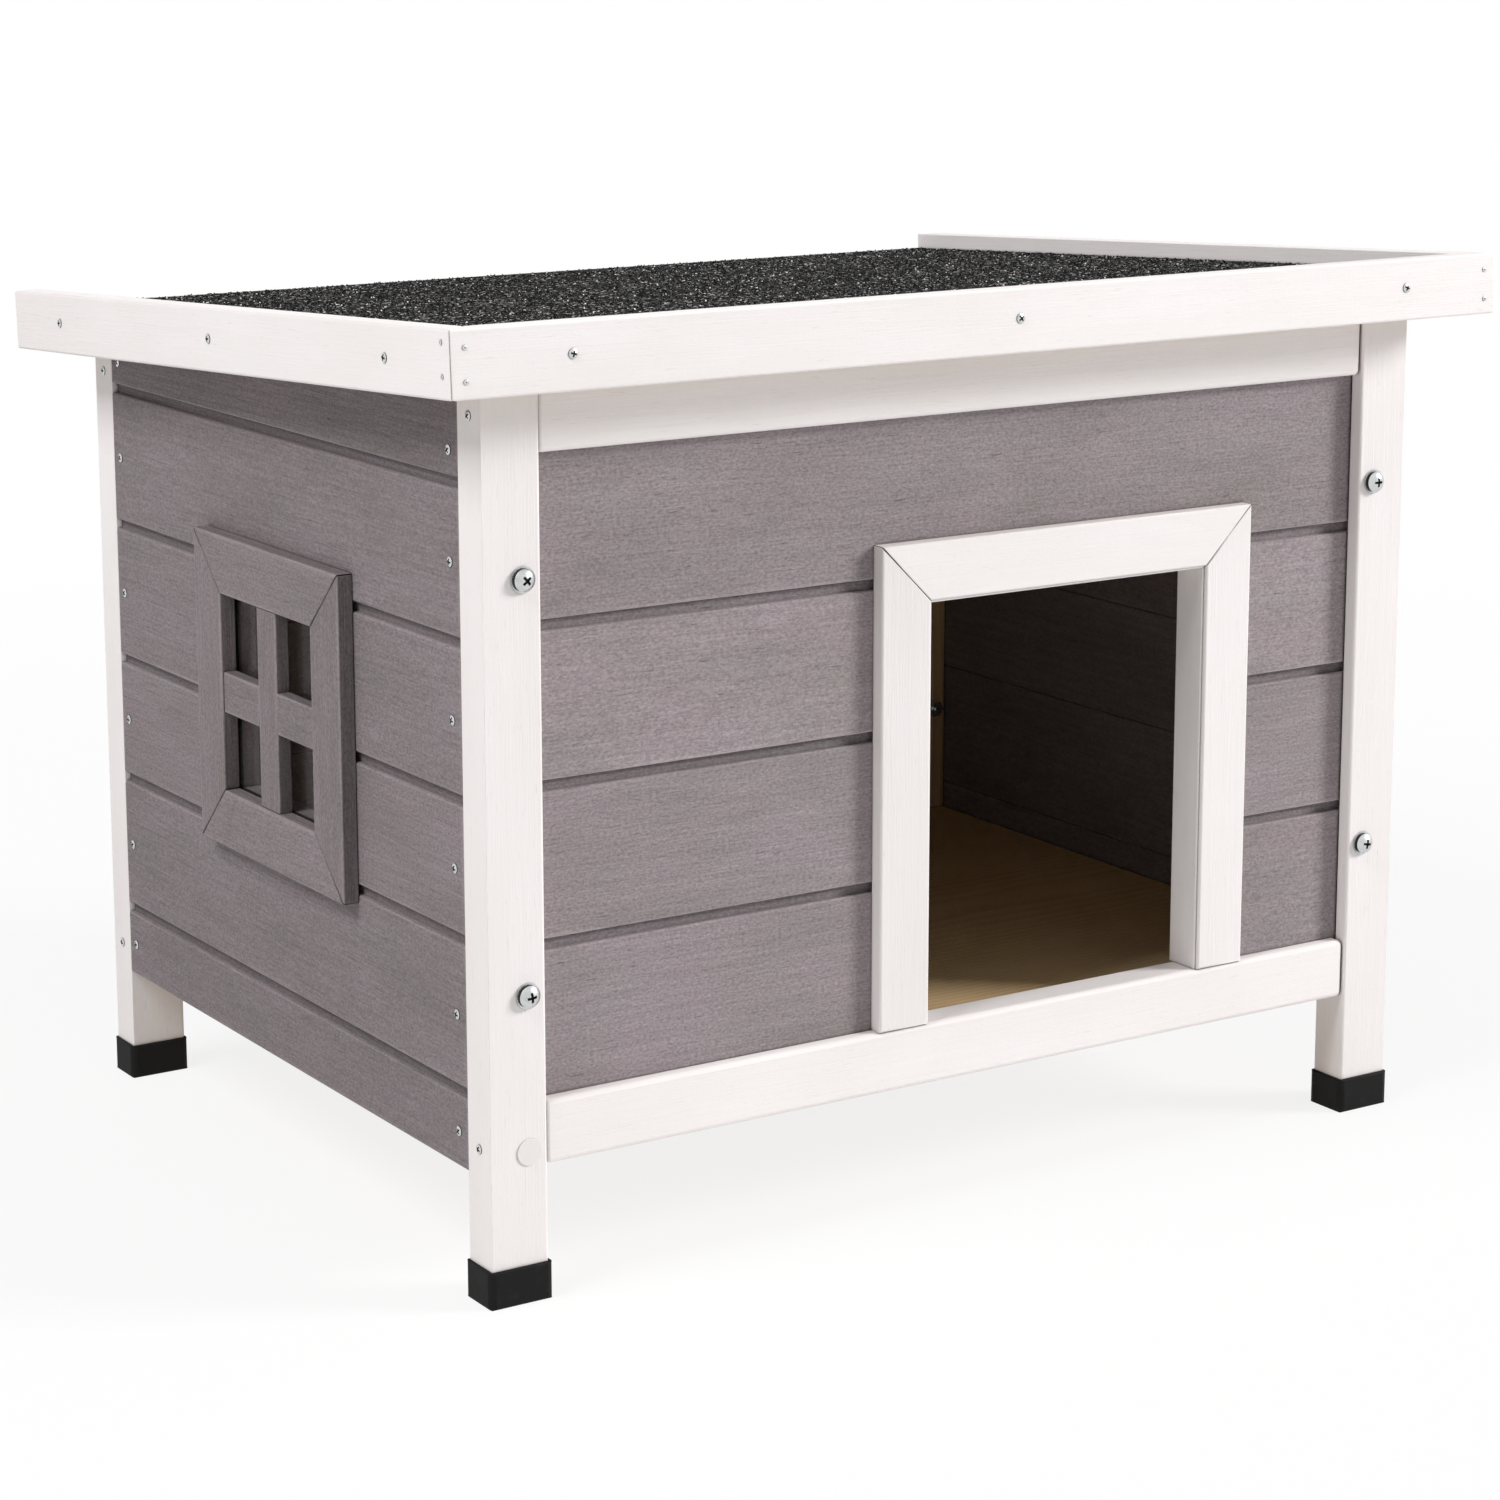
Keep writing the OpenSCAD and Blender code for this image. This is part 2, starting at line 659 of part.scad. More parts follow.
module hinge_wall_leaves() {
    plate_w = leaf_w - knuckle_r - knuckle_gap;
    color(zinc) at_hinges() difference() {
        union() {
            translate([-hinge_len / 2, -knuckle_r, -leaf_w]) cube([hinge_len, leaf_t, plate_w]);
            for (x = [-knuckle_step, knuckle_step]) translate([x, 0, 0]) {
                knuckle();
                translate([-knuckle_len / 2, -knuckle_r, -leaf_w]) cube([knuckle_len, leaf_t, leaf_w]);
            }
        }
        pin_bore(2 * hinge_len);
        at_wall_leaf_screws() screw_hole(hinge_screw_len);
    }
}
module hinge_roof_leaves() {
    plate_y = knuckle_r + knuckle_gap;
    color(zinc) at_roof_hinges() difference() {
        union() {
            translate([-hinge_len / 2, plate_y, roof_leaf_z]) cube([hinge_len, leaf_w - plate_y, leaf_t]);
            knuckle();
            translate([-knuckle_len / 2, 0, roof_leaf_z]) cube([knuckle_len, leaf_w, leaf_t]);
        }
        pin_bore(2 * hinge_len);
        at_roof_leaf_screws() screw_hole(hinge_screw_len);
    }
}
module hinge_pins() {
    head_r = (knuckle_r + hinge_pin_d / 2) / 2;
    color(zinc) at_hinges() rotate([0, 90, 0]) {
        translate([0, 0, -hinge_len / 2]) cylinder(d = hinge_pin_d, h = hinge_len);
        for (z = [-hinge_len / 2 - pin_head_h, hinge_len / 2])
            translate([0, 0, z]) cylinder(r = head_r, h = pin_head_h);
    }
}

// Roof

roof_half = roof_w / 2;
module at_front_fascia_screws() {
    for (x = [-1, 0, 1]) translate([x * (roof_half - fascia_screw_inset), 0, -fascia_screw_drop]) children();
}
module at_side_fascia_screws(x) {
    for (y = [fascia_screw_inset, roof_len / 2, roof_len - fascia_screw_inset])
        translate([x * roof_half, y, -fascia_screw_drop]) rotate([0, 0, x * 90]) children();
}
// The two front corners' nails: those of the front board, then those of the side board
module at_corner_nails(x) {
    for (drop = [corner_nail_high, corner_nail_low]) {
        translate([x * (roof_half - corner_nail_inset), 0, -drop]) children();
        translate([x * roof_half, corner_nail_inset, corner_nail_shift - drop])
            rotate([0, 0, x * 90]) children();
    }
}
module fascia_front() {
    color(white_wood) on_roof() difference() {
        translate([0, 0, -fascia_h]) linear_extrude(fascia_h)
            polygon([[-roof_half, 0], [roof_half, 0], [roof_half - fascia_t, fascia_t],
                [-roof_half + fascia_t, fascia_t]]);
        at_front_fascia_screws() screw_hole(fascia_screw_len);
        for (x = [-1, 1]) at_corner_nails(x) nail_hole(corner_nail_len);
    }
}
// The left edging board for x = -1 or the right one for x = 1
module fascia_side(x) {
    color(white_wood) on_roof() difference() {
        translate([0, 0, -fascia_h]) linear_extrude(fascia_h)
            polygon([[x * roof_half, 0], [x * roof_half, roof_len],
                [x * (roof_half - fascia_t), roof_len], [x * (roof_half - fascia_t), fascia_t]]);
        at_side_fascia_screws(x) screw_hole(fascia_screw_len);
        at_corner_nails(x) nail_hole(corner_nail_len);
    }
}
// A sheet between the edging boards, its top at the given depth below theirs
module roof_sheet(depth, t) {
    translate([-roof_half + fascia_t, fascia_t, -depth - t])
        cube([roof_w - 2 * fascia_t, roof_len - fascia_t, t]);
}
module roof_deck() {
    color(bare_wood) difference() {
        on_roof() difference() {
            roof_sheet(felt_drop + felt_t, deck_t);
            at_front_fascia_screws() screw_hole(fascia_screw_len);
            for (x = [-1, 1]) at_side_fascia_screws(x) screw_hole(fascia_screw_len);
        }
        at_roof_hinges() at_roof_leaf_screws() screw_hole(hinge_screw_len);
    }
}
module roof_felt() {
    color(felt_black) on_roof() roof_sheet(felt_drop, felt_t);
}
module roof_screws() {
    color(zinc) {
        on_roof() at_front_fascia_screws() wood_screw(fascia_screw_len);
        on_roof() for (x = [-1, 1]) at_side_fascia_screws(x) wood_screw(fascia_screw_len);
        at_roof_hinges() at_roof_leaf_screws() wood_screw(hinge_screw_len);
    }
}
module fascia_nails() {
    color(zinc) on_roof() for (x = [-1, 1]) at_corner_nails(x) nail(corner_nail_len);
}

leg(-1, -1);  // leg_front_left
leg(1, -1);  // leg_front_right
leg(-1, 1);  // leg_rear_left
leg(1, 1);  // leg_rear_right
foot_caps();
top_rail(-1);  // front_top_rail
bottom_rail(-1);  // front_bottom_rail
top_rail(1);  // rear_top_rail
bottom_rail(1);  // rear_bottom_rail
front_board_piece(1, -1);  // front_board_1_left
front_board_piece(1, 1);  // front_board_1_right
front_board_piece(2, -1);  // front_board_2_left
front_board_piece(2, 1);  // front_board_2_right
end_board(3, -1);  // front_board_3
end_board(4, -1);  // front_board_4
side_board(1, -1);  // left_board_1
side_board(2, -1);  // left_board_2
side_board(3, -1);  // left_board_3
side_board(4, -1);  // left_board_4
side_board(5, -1);  // left_board_5
side_board(6, -1);  // left_board_6
side_board(1, 1);  // right_board_1
side_board(2, 1);  // right_board_2
side_board(3, 1);  // right_board_3
side_board(4, 1);  // right_board_4
side_board(5, 1);  // right_board_5
side_board(6, 1);  // right_board_6
end_board(1, 1);  // rear_board_1
end_board(2, 1);  // rear_board_2
end_board(3, 1);  // rear_board_3
end_board(4, 1);  // rear_board_4
side_battens();
floor_panel();
floor_cleats();
door_trim_left();
door_trim_right();
door_trim_top();
window_trim(0);  // window_trim_top
window_trim(2);  // window_trim_bottom
window_trim(3);  // window_trim_front
window_trim(1);  // window_trim_rear
window_bar_upright();
window_bar_cross();
window_pane();
leg_bolts();
bolt_washers();
bolt_nuts();
frame_screws();
board_nails();
leg_plug();
hinge_wall_leaves();
hinge_pins();
roof_deck();
roof_felt();
fascia_front();
fascia_side(-1);  // fascia_left
fascia_side(1);  // fascia_right
roof_screws();
fascia_nails();
hinge_roof_leaves();
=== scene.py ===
# %% [markdown]
# # Dressing an outdoor pet house
#
# The house is a small cabin of painted fir boards on four legs, with a flat roof that opens on two
# hinges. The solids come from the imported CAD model. Blender adds what makes them look real: eased
# edges, wood grain, the mineral granules of the roofing felt, screw heads and a soft studio light.
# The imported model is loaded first, as a fixed frame in metres, so every new piece is made in the
# place where the solid already stands.

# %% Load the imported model
import json
import math
import random

import bmesh
import bpy
import numpy as np
from mathutils import Matrix, Vector


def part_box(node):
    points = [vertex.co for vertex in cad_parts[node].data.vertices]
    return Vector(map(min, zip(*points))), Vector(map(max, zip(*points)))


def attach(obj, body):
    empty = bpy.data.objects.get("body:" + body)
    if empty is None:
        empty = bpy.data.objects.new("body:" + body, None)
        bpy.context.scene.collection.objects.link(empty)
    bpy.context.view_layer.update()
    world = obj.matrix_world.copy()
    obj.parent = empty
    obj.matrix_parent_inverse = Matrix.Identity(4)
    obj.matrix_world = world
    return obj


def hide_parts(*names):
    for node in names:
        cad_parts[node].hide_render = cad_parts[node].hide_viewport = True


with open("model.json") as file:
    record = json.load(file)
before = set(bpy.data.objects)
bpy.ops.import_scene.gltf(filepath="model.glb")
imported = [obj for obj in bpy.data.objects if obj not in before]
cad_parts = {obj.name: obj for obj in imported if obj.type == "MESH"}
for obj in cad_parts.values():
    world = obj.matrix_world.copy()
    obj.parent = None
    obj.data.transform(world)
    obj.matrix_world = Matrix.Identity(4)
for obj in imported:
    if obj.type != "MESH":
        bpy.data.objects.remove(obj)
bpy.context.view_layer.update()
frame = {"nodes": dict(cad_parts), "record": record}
nodes = frame["nodes"]
bodies = frame["record"]["behaviour"]["bodies"]
body_of_node = {name: body for body, members in bodies.items() for name in members}

# %% [markdown]
# Sizes in this file are written in millimetres, as on a workshop drawing, and turned to metres where
# they are used. The colours are sRGB hex values, as a colour picker shows them, and one function turns
# them to the linear values that the shaders want.

# %% Units and colours
MM = 0.001


def paint(code):
    """Linear colour of an sRGB hex code."""
    parts = [int(code[i:i + 2], 16) / 255 for i in (1, 3, 5)]
    linear = [c / 12.92 if c <= 0.04045 else ((c + 0.055) / 1.055) ** 2.4 for c in parts]
    return (*linear, 1.0)


print("the grey #808080 is", round(paint("#808080")[0], 3), "in linear light")

# %% [markdown]
# Materials and Geometry Nodes are both node trees, so one small function serves them all. It adds a
# node, sets its properties, and fills its inputs: a plain value is typed in, a socket is linked, and a
# node stands for its first output. A list makes several links to one input.

# %% One function that adds a node
def fill(tree, node, inputs):
    """Types plain values into a node's inputs, and links sockets and nodes to them."""
    for key, value in inputs.items():
        for one in value if isinstance(value, list) else [value]:
            if isinstance(one, bpy.types.Node):
                one = one.outputs[0]
            if isinstance(one, bpy.types.NodeSocket):
                tree.links.new(one, node.inputs[key])
            else:
                node.inputs[key].default_value = one


def add(tree, kind, inputs=None, **settings):
    """Adds a node of that kind to the tree, with its settings, values and links."""
    made = tree.nodes.new(kind)
    for name, value in settings.items():
        setattr(made, name, value)
    fill(tree, made, inputs or {})
    return made


def empty_tree(owner):
    """The node tree of a material or a world, switched on and emptied."""
    owner.use_nodes = True
    owner.node_tree.nodes.clear()
    return owner.node_tree


def new_material(name):
    """A material with its tree, and its Principled shader linked to the output."""
    material = bpy.data.materials.new(name)
    tree = empty_tree(material)
    shader = add(tree, "ShaderNodeBsdfPrincipled")
    add(tree, "ShaderNodeOutputMaterial", {"Surface": shader})
    return material, tree, shader


def set_ramp(ramp, *stops):
    """Puts (position, value) stops on a colour ramp; a value is a grey level or a colour."""
    elements = ramp.color_ramp.elements
    while len(elements) > 1:
        elements.remove(elements[-1])
    for i, (position, value) in enumerate(stops):
        element = elements[0] if i == 0 else elements.new(position)
        element.position = position
        element.color = value if isinstance(value, tuple) else (value, value, value, 1)


# %% [markdown]
# Nearly all that shows is fir, so the wood gets the most care. A board is sawn from a trunk, and the
# year rings are tubes round the trunk's heart. Where a board's face cuts them they show as long lines
# and arches, and on its end as arcs. That can be copied directly: each piece carries an attribute,
# `grain`, with its own place in the trunk, X along the fibres. The distance from the heart, divided by
# the ring spacing, gives the rings, the same on faces and ends, with no picture and no UV map.
#
# The finer patterns are noises stretched along the fibres, so they need only a table. Two more
# attributes, `place` and `half`, say where a point lies in its board and how big the board is. The
# shader works out from them how near the next edge is, which is where paint rubs off first, and where
# the grey stain also gets a painted highlight.

# %% The pattern of sawn fir
RING = 3.8 * MM  # from one year ring to the next
WANDER = 13 * MM  # a crooked trunk's rings stray this far over a hand's width
JOINT_REACH = 2.2 * MM  # painted shade darkens a point where a neighbour is nearer than this
EDGE_FULL = 0.2 * MM  # an edge's band, worn paint and on the grey stain also a painted highlight, is full this far in
EDGE_BAND, EDGE_BAND_MORE = 0.4 * MM, 2.8 * MM  # and in part this far, with as much more as the clouds say

NOISES = {  # name: (start, blotches in a metre along and across the fibres, detail, roughness, from, to)
    # Fibres are 0.03 mm wide; they are drawn 0.9 mm wide and 33 mm long, the least that shows.
    "fibres": ((0, 0, 0), 30, 1 / (0.9 * MM), 5.0, 0.65, 0.34, 0.66),
    # The tooth that sanding leaves, about 1 mm once the paint has caught on it
    "grit": ((2, 4, 6), 560, 900, 3.0, 0.75, 0.3, 0.7),
    # Streaks of resin and dirt in the pores, 9 mm long and under 1 mm wide
    "flecks": ((3, 5, 7), 110, 1300, 1.0, 0.5, 0.68, 0.8),
    # Paint that pooled under the brush, in blotches of 110 by 40 mm
    "mottle": ((8, 9, 1), 9, 26, 3.0, 0.5, 0.3, 0.65),
    # Paint that dried thinner or thicker, in patches of 60 by 26 mm
    "clouds": ((1, 2, 3), 16, 38, 4.0, 0.6, 0.32, 0.68),
}


def year_rings(tree, grain):
    """Pale early wood that darkens slowly to a narrow band of late wood, and then stops at once."""
    bend = add(tree, "ShaderNodeMapping", {"Vector": grain, "Scale": (5, 14, 14)})
    spot = add(tree, "ShaderNodeTexNoise", {"Vector": bend, "Scale": 1.0, "Detail": 2.0}).outputs["Color"]
    # The noise is centred and scaled, shifts the point, and only the part across the fibres counts.
    for operation, operand in (("SUBTRACT", (0.5, 0.5, 0.5)), ("MULTIPLY", (0, WANDER, WANDER)),
                               ("ADD", grain), ("MULTIPLY", (0, 1, 1))):
        spot = add(tree, "ShaderNodeVectorMath", {0: spot, 1: operand}, operation=operation)
    from_heart = add(tree, "ShaderNodeVectorMath", {0: spot}, operation="LENGTH").outputs["Value"]
    counted = add(tree, "ShaderNodeMath", {0: from_heart, 1: 1 / RING}, operation="MULTIPLY")
    year = add(tree, "ShaderNodeMath", {0: counted}, operation="FRACT")
    rings = add(tree, "ShaderNodeValToRGB", {"Fac": year})
    set_ramp(rings, (0.0, 0.05), (0.45, 0.2), (0.8, 0.75), (0.93, 1.0), (1.0, 0.05))
    return rings.outputs[0]


def worn_and_highlit_edges(tree, clouds):
    """Near 1 at the edges of a board, in a ragged band: worn paint, and on the grey stain also a painted
    highlight.
    """
    place, half = (add(tree, "ShaderNodeAttribute", attribute_name=name).outputs["Vector"]
                   for name in ("place", "half"))
    size = add(tree, "ShaderNodeVectorMath", {0: place}, operation="ABSOLUTE")
    to_sides = add(tree, "ShaderNodeVectorMath", {0: half, 1: size}, operation="SUBTRACT")
    a, b, c = add(tree, "ShaderNodeSeparateXYZ", {0: to_sides}).outputs
    # The smallest of the three belongs to the point's own face, and the middle one to the next edge.
    low, high = (add(tree, "ShaderNodeMath", {0: a, 1: b}, operation=kind) for kind in ("MINIMUM", "MAXIMUM"))
    inner = add(tree, "ShaderNodeMath", {0: high, 1: c}, operation="MINIMUM")
    to_edge = add(tree, "ShaderNodeMath", {0: low, 1: inner}, operation="MAXIMUM")
    ragged = add(tree, "ShaderNodeMath", {0: clouds, 1: EDGE_BAND_MORE, 2: EDGE_BAND}, operation="MULTIPLY_ADD")
    edges = add(tree, "ShaderNodeMapRange", {"Value": to_edge, "From Min": ragged, "From Max": EDGE_FULL})
    return edges.outputs[0]


def fir_pattern(tree):
    """Sockets for rings, fibres, grit, flecks, mottle, clouds, painted shade in the joints and edges, each
    from 0 to 1; the edges are worn paint and, on the grey stain, also a painted highlight.
    """
    grain = add(tree, "ShaderNodeAttribute", attribute_name="grain").outputs["Vector"]
    pattern = {"rings": year_rings(tree, grain)}
    for name, (start, along, across, detail, roughness, low, high) in NOISES.items():
        stretch = add(tree, "ShaderNodeMapping",
                      {"Vector": grain, "Location": start, "Scale": (along, across, across)})
        noise = add(tree, "ShaderNodeTexNoise",
                    {"Vector": stretch, "Scale": 1.0, "Detail": detail, "Roughness": roughness})
        spread = add(tree, "ShaderNodeMapRange", {"Value": noise, "From Min": low, "From Max": high})
        pattern[name] = spread.outputs[0]
    # A point that its neighbours nearly close in sees little open sky, and this is painted in as shade.
    sky = add(tree, "ShaderNodeAmbientOcclusion", {"Distance": JOINT_REACH}, samples=5).outputs["AO"]
    seams = add(tree, "ShaderNodeMapRange", {"Value": sky, "From Min": 0.72, "From Max": 0.25})
    return {**pattern, "seams": seams.outputs[0], "edges": worn_and_highlit_edges(tree, pattern["clouds"])}


# %% [markdown]
# The three wood finishes share that pattern and differ in how much of it shows. A finish is built in
# layers, as a painter builds it: the paint or the bare wood, darker fibres and rings, small flecks,
# soft clouds where the brush left more, the rubbed edge, which on the grey stain is also a painted
# highlight, and painted shade in the joints. A layer is one Mix node, whose factor is the pattern times
# a strength. No two boards take the paint alike, so a last attribute, `tone`, makes each a little darker
# or paler, and also carries the painted shade of the grooves and joints.

# %% A maker for wood finishes
TONE_DARK, TONE_PALE = 0.955, 1.03  # how bright the paint is at a tone of -1 and of 1
WOOD_RELIEF = 0.25 * MM  # height of the fibres that the brush raised
WOOD_GLOSS = 0.35


def wood_finish(name, base, layers, rough, relief):
    """A painted, stained or bare fir; layers are (pattern, colour, strength)."""
    material, tree, shader = new_material(name)
    pattern = fir_pattern(tree)
    colour = paint(base)
    for kind, code, strength in layers:
        weight = add(tree, "ShaderNodeMath", {0: pattern[kind], 1: strength}, operation="MULTIPLY")
        layer = add(tree, "ShaderNodeMix", {0: weight, 6: colour, 7: paint(code)}, data_type="RGBA")
        colour = layer.outputs[2]
    tone = add(tree, "ShaderNodeAttribute", attribute_name="tone").outputs["Fac"]
    value = add(tree, "ShaderNodeMapRange",
                {"Value": tone, "From Min": -1.0, "To Min": TONE_DARK, "To Max": TONE_PALE}, clamp=False)
    toned = add(tree, "ShaderNodeHueSaturation", {"Value": value, "Color": colour})
    roughness = add(tree, "ShaderNodeMapRange",
                    {"Value": pattern["fibres"], "To Min": rough[0], "To Max": rough[1]})
    height = pattern["fibres"]
    for kind, share in (("grit", 0.6), ("rings", 0.4)):
        height = add(tree, "ShaderNodeMath", {0: pattern[kind], 1: share, 2: height},
                     operation="MULTIPLY_ADD")
    bump = add(tree, "ShaderNodeBump", {"Height": height, "Strength": relief, "Distance": WOOD_RELIEF})
    fill(tree, shader, {"Base Color": toned, "Roughness": roughness, "Normal": bump,
                        "Specular IOR Level": WOOD_GLOSS})
    return material


# %% [markdown]
# Whitewash is thinned white paint on planed fir. It covers most of the wood and lets a little warmth
# through in the late wood and along rubbed edges. The grey is a pigment stain: it fills the pores, so
# fibres and flecks come out darker, and it looks flat and dry. The inner parts, which rain never
# reaches, are planed fir left bare, pale yellow with clear rings.

# %% The three wood finishes
# In each finish the last layer darkens the joints by how little open sky a point sees: painted shade.
whitewashed_fir = wood_finish(
    "whitewashed_fir", "#F9F4F4",
    [("rings", "#EFE6E2", 0.14), ("fibres", "#F3ECE9", 0.15), ("mottle", "#ECE4E1", 0.42),
     ("clouds", "#EFEEEA", 0.30), ("grit", "#F0EAE8", 0.14), ("flecks", "#D0C3BB", 0.30),
     ("edges", "#E6D8CC", 0.06), ("seams", "#6F6763", 0.9)], (0.52, 0.7), 0.25)
# On the grey stain the pale edges layer is partly a painted highlight along the arrises, and partly stain
# rubbed off.
grey_stained_fir = wood_finish(
    "grey_stained_fir", "#B7AEB1",
    [("mottle", "#98918A", 0.62), ("rings", "#84797C", 0.20), ("clouds", "#BBA9B1", 0.55),
     ("fibres", "#7F7577", 0.36), ("grit", "#544B4D", 0.62), ("flecks", "#443B3D", 0.6),
     ("edges", "#C6BDBE", 0.30), ("seams", "#2B2627", 1.0)], (0.66, 0.84), 0.6)
bare_fir = wood_finish(
    "bare_planed_fir", "#E2C79B",
    [("rings", "#B98A56", 0.55), ("fibres", "#CDA873", 0.40), ("clouds", "#EAD3AC", 0.35),
     ("grit", "#C79E66", 0.20), ("flecks", "#8E6437", 0.4), ("edges", "#C9A473", 0.15),
     ("seams", "#5E452A", 0.7)], (0.5, 0.66), 0.5)
print("wood finishes:", whitewashed_fir.name, grey_stained_fir.name, bare_fir.name)

# %% [markdown]
# Each timber piece is a copy of its solid. The loose triangles are merged to whole faces, because only
# a whole face rounds evenly. A mitre never closes fully on a real frame, so each slanting end is set
# back a little, which leaves the fine dark line of an open joint.

# %% Copy a solid with whole faces
X, Y, Z = Vector((1, 0, 0)), Vector((0, 1, 0)), Vector((0, 0, 1))
WELD = 1e-6  # metres; corners nearer than this are one
ONE_PLANE = math.radians(0.6)  # faces that turn by less than this become one
HINGE_ZONE = 200 * MM  # the hinge screws lie nearer than this to the middle of the rear top rail
SLANT = 0.15  # a face slants when two parts of its normal are larger
MITRE_GAP = {"door": 0.28, "window": 0.5}  # mm that each side stands back; the window's were cut less well


def span(bm, axis):
    """Where the mesh begins and ends along X, Y or Z."""
    places = [v.co[axis] for v in bm.verts]
    return min(places), max(places)


def open_mitres(bm, gap_mm):
    """Sets each slanting end back along the piece."""
    bm.normal_update()
    spans = [span(bm, axis) for axis in range(3)]
    axis = max(range(3), key=lambda i: spans[i][1] - spans[i][0])
    middle = sum(spans[axis]) / 2
    slanting = [face for face in bm.faces if sum(abs(part) > SLANT for part in face.normal) > 1]
    for vert in {v for face in slanting for v in face.verts}:
        vert.co[axis] += math.copysign(gap_mm * MM, middle - vert.co[axis])


def merged_copy(node):
    """A bmesh of the solid with its loose triangles merged to flat faces."""
    bm = bmesh.new()
    bm.from_mesh(nodes[node].data)
    bmesh.ops.remove_doubles(bm, verts=bm.verts, dist=WELD)
    if node == "rear_top_rail":  # its hinge screws fill their holes, and a whole face rounds better
        in_holes = [v for v in bm.verts if abs(v.co.x) < HINGE_ZONE]
        bmesh.ops.delete(bm, geom=in_holes, context="VERTS")
        bmesh.ops.holes_fill(bm, edges=bm.edges, sides=0)
        bmesh.ops.recalc_face_normals(bm, faces=bm.faces)
    bmesh.ops.dissolve_limit(bm, angle_limit=ONE_PLANE, verts=bm.verts, edges=bm.edges)
    if "_trim_" in node:
        open_mitres(bm, MITRE_GAP[node.split("_")[0]])
    return bm


# %% [markdown]
# The solid's edges are knife-sharp, and nothing sawn and sanded is: eased edges catch the light, and
# that thin line is what tells the eye that a part has size. A Bevel modifier could find the edges by
# angle, but it would also nibble at every screw hole. So they are chosen here: long, convex, and not
# so near a small feature that the rounding would hit it. Some get only a share of the radius, such as
# a mitre. The window's moulding has a well-rounded outer rim and nearly sharp inner edges.

# %% Choose the edges to round
SHARP = math.radians(32)  # an edge that turns by less belongs to a curve
NEAR = 0.1 * MM  # slack when a point is compared with a face
RAIL_SIDE = 9 * MM  # a longer edge of a rail's rim is straight, a shorter one a facet of a corner or hole
RAIL_CORNER = 4 * MM  # a rail's round corners end this far from its ends
SHARE = {"cap_rim": 0.3, "mitre": 0.5, "window_mitre": 0.16, "window_inside": 0.3}  # of the full radius
DOOR_LEFT, DOOR_RIGHT, DOOR_TOP = -25.5 * MM, 134.5 * MM, 287.5 * MM
TRIM_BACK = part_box("door_trim_top")[1][1]
WINDOW_LOW, WINDOW_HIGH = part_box("window_trim_front")[0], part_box("window_trim_rear")[1]


def in_doorway(at):
    """Whether a point lies on the sawn edges of the boards that line the doorway."""
    beside = min(abs(at.x - DOOR_LEFT), abs(at.x - DOOR_RIGHT)) < NEAR and at.z < DOOR_TOP + NEAR
    above = abs(at.z - DOOR_TOP) < NEAR and DOOR_LEFT - NEAR < at.x < DOOR_RIGHT + NEAR
    return beside or above


def on_window_rim(at):
    """Whether a point lies on the outer rim of the window moulding's face."""
    sides = [abs(at[axis] - corner[axis]) for axis in (1, 2) for corner in (WINDOW_LOW, WINDOW_HIGH)]
    return at.x < WINDOW_LOW[0] + NEAR and min(sides) < NEAR


def rounding(node, edge):
    """The share of the radius that an edge gets: less at a mitre, none where two pieces lie flush."""
    a, b = (v.co for v in edge.verts)
    run = b - a
    if node == "foot_caps":  # soft upright corners, a small rim, and a sharp mouth
        if min(v.co.z for face in edge.link_faces for v in face.verts) > MM:
            return 0.0
        return 1.0 if abs(run.z) > 10 * MM else SHARE["cap_rim"]
    if node.startswith("door_trim") and min(a.y, b.y) > TRIM_BACK - NEAR:
        return 0.0
    if node.startswith("front_board") and all(in_doorway(v.co) for v in edge.verts):
        return 0.0
    slanting = sum(abs(part) > 0.2 * run.length for part in run) > 1
    if node.startswith("window"):
        on_rim = "trim" in node and on_window_rim(a) and on_window_rim(b)
        return 1.0 if on_rim else SHARE["window_mitre" if slanting else "window_inside"]
    return SHARE["mitre"] if slanting and "trim" in node else 1.0


def edges_to_round(bm, radius, shortest):
    """Convex edges long enough to round, with room for the rounding at both ends."""
    sharp = {e for e in bm.edges if len(e.link_faces) == 2 and e.is_convex
             and e.calc_face_angle() > SHARP and e.calc_length() > shortest}
    if shortest == 0:  # a rail: the rims of both faces, with the short edges of their round corners
        ends, faces = span(bm, 0), span(bm, 1)
        rims = {e for e in sharp for side in faces if all(abs(v.co.y - side) < 0.01 * MM for v in e.verts)}
        return {e for e in rims if e.calc_length() > RAIL_SIDE
                or any(abs(e.verts[0].co.x - end) < RAIL_CORNER for end in ends)}
    room = min(1.3 * radius, 2 * MM)  # a shorter neighbour would be eaten by the rounding
    return {e for e in sharp
            if all(o in sharp or o.calc_length() > room for v in e.verts for o in v.link_edges)}


# %% [markdown]
# The chosen edges carry a weight, which the Bevel modifier multiplies with its width. A Weighted Normal
# modifier keeps the large faces flat. The result is turned to a plain mesh without modifiers.

# %% Round the edges
def new_object(name, data):
    """An object with that mesh, lamp or camera, linked to the scene."""
    made = bpy.data.objects.new(name, data)
    bpy.context.scene.collection.objects.link(made)
    return made


def plain_mesh(source, name):
    """The evaluated object's mesh as a plain object of that name at the origin."""
    graph = bpy.context.evaluated_depsgraph_get()
    final = source.evaluated_get(graph)
    mesh = bpy.data.meshes.new_from_object(final, preserve_all_data_layers=True, depsgraph=graph)
    bpy.data.objects.remove(source)
    mesh.name = name
    return new_object(name, mesh)


def weight_layer(bm):
    """The layer that holds how strongly each edge is rounded."""
    return bm.edges.layers.float.new("bevel_weight_edge")


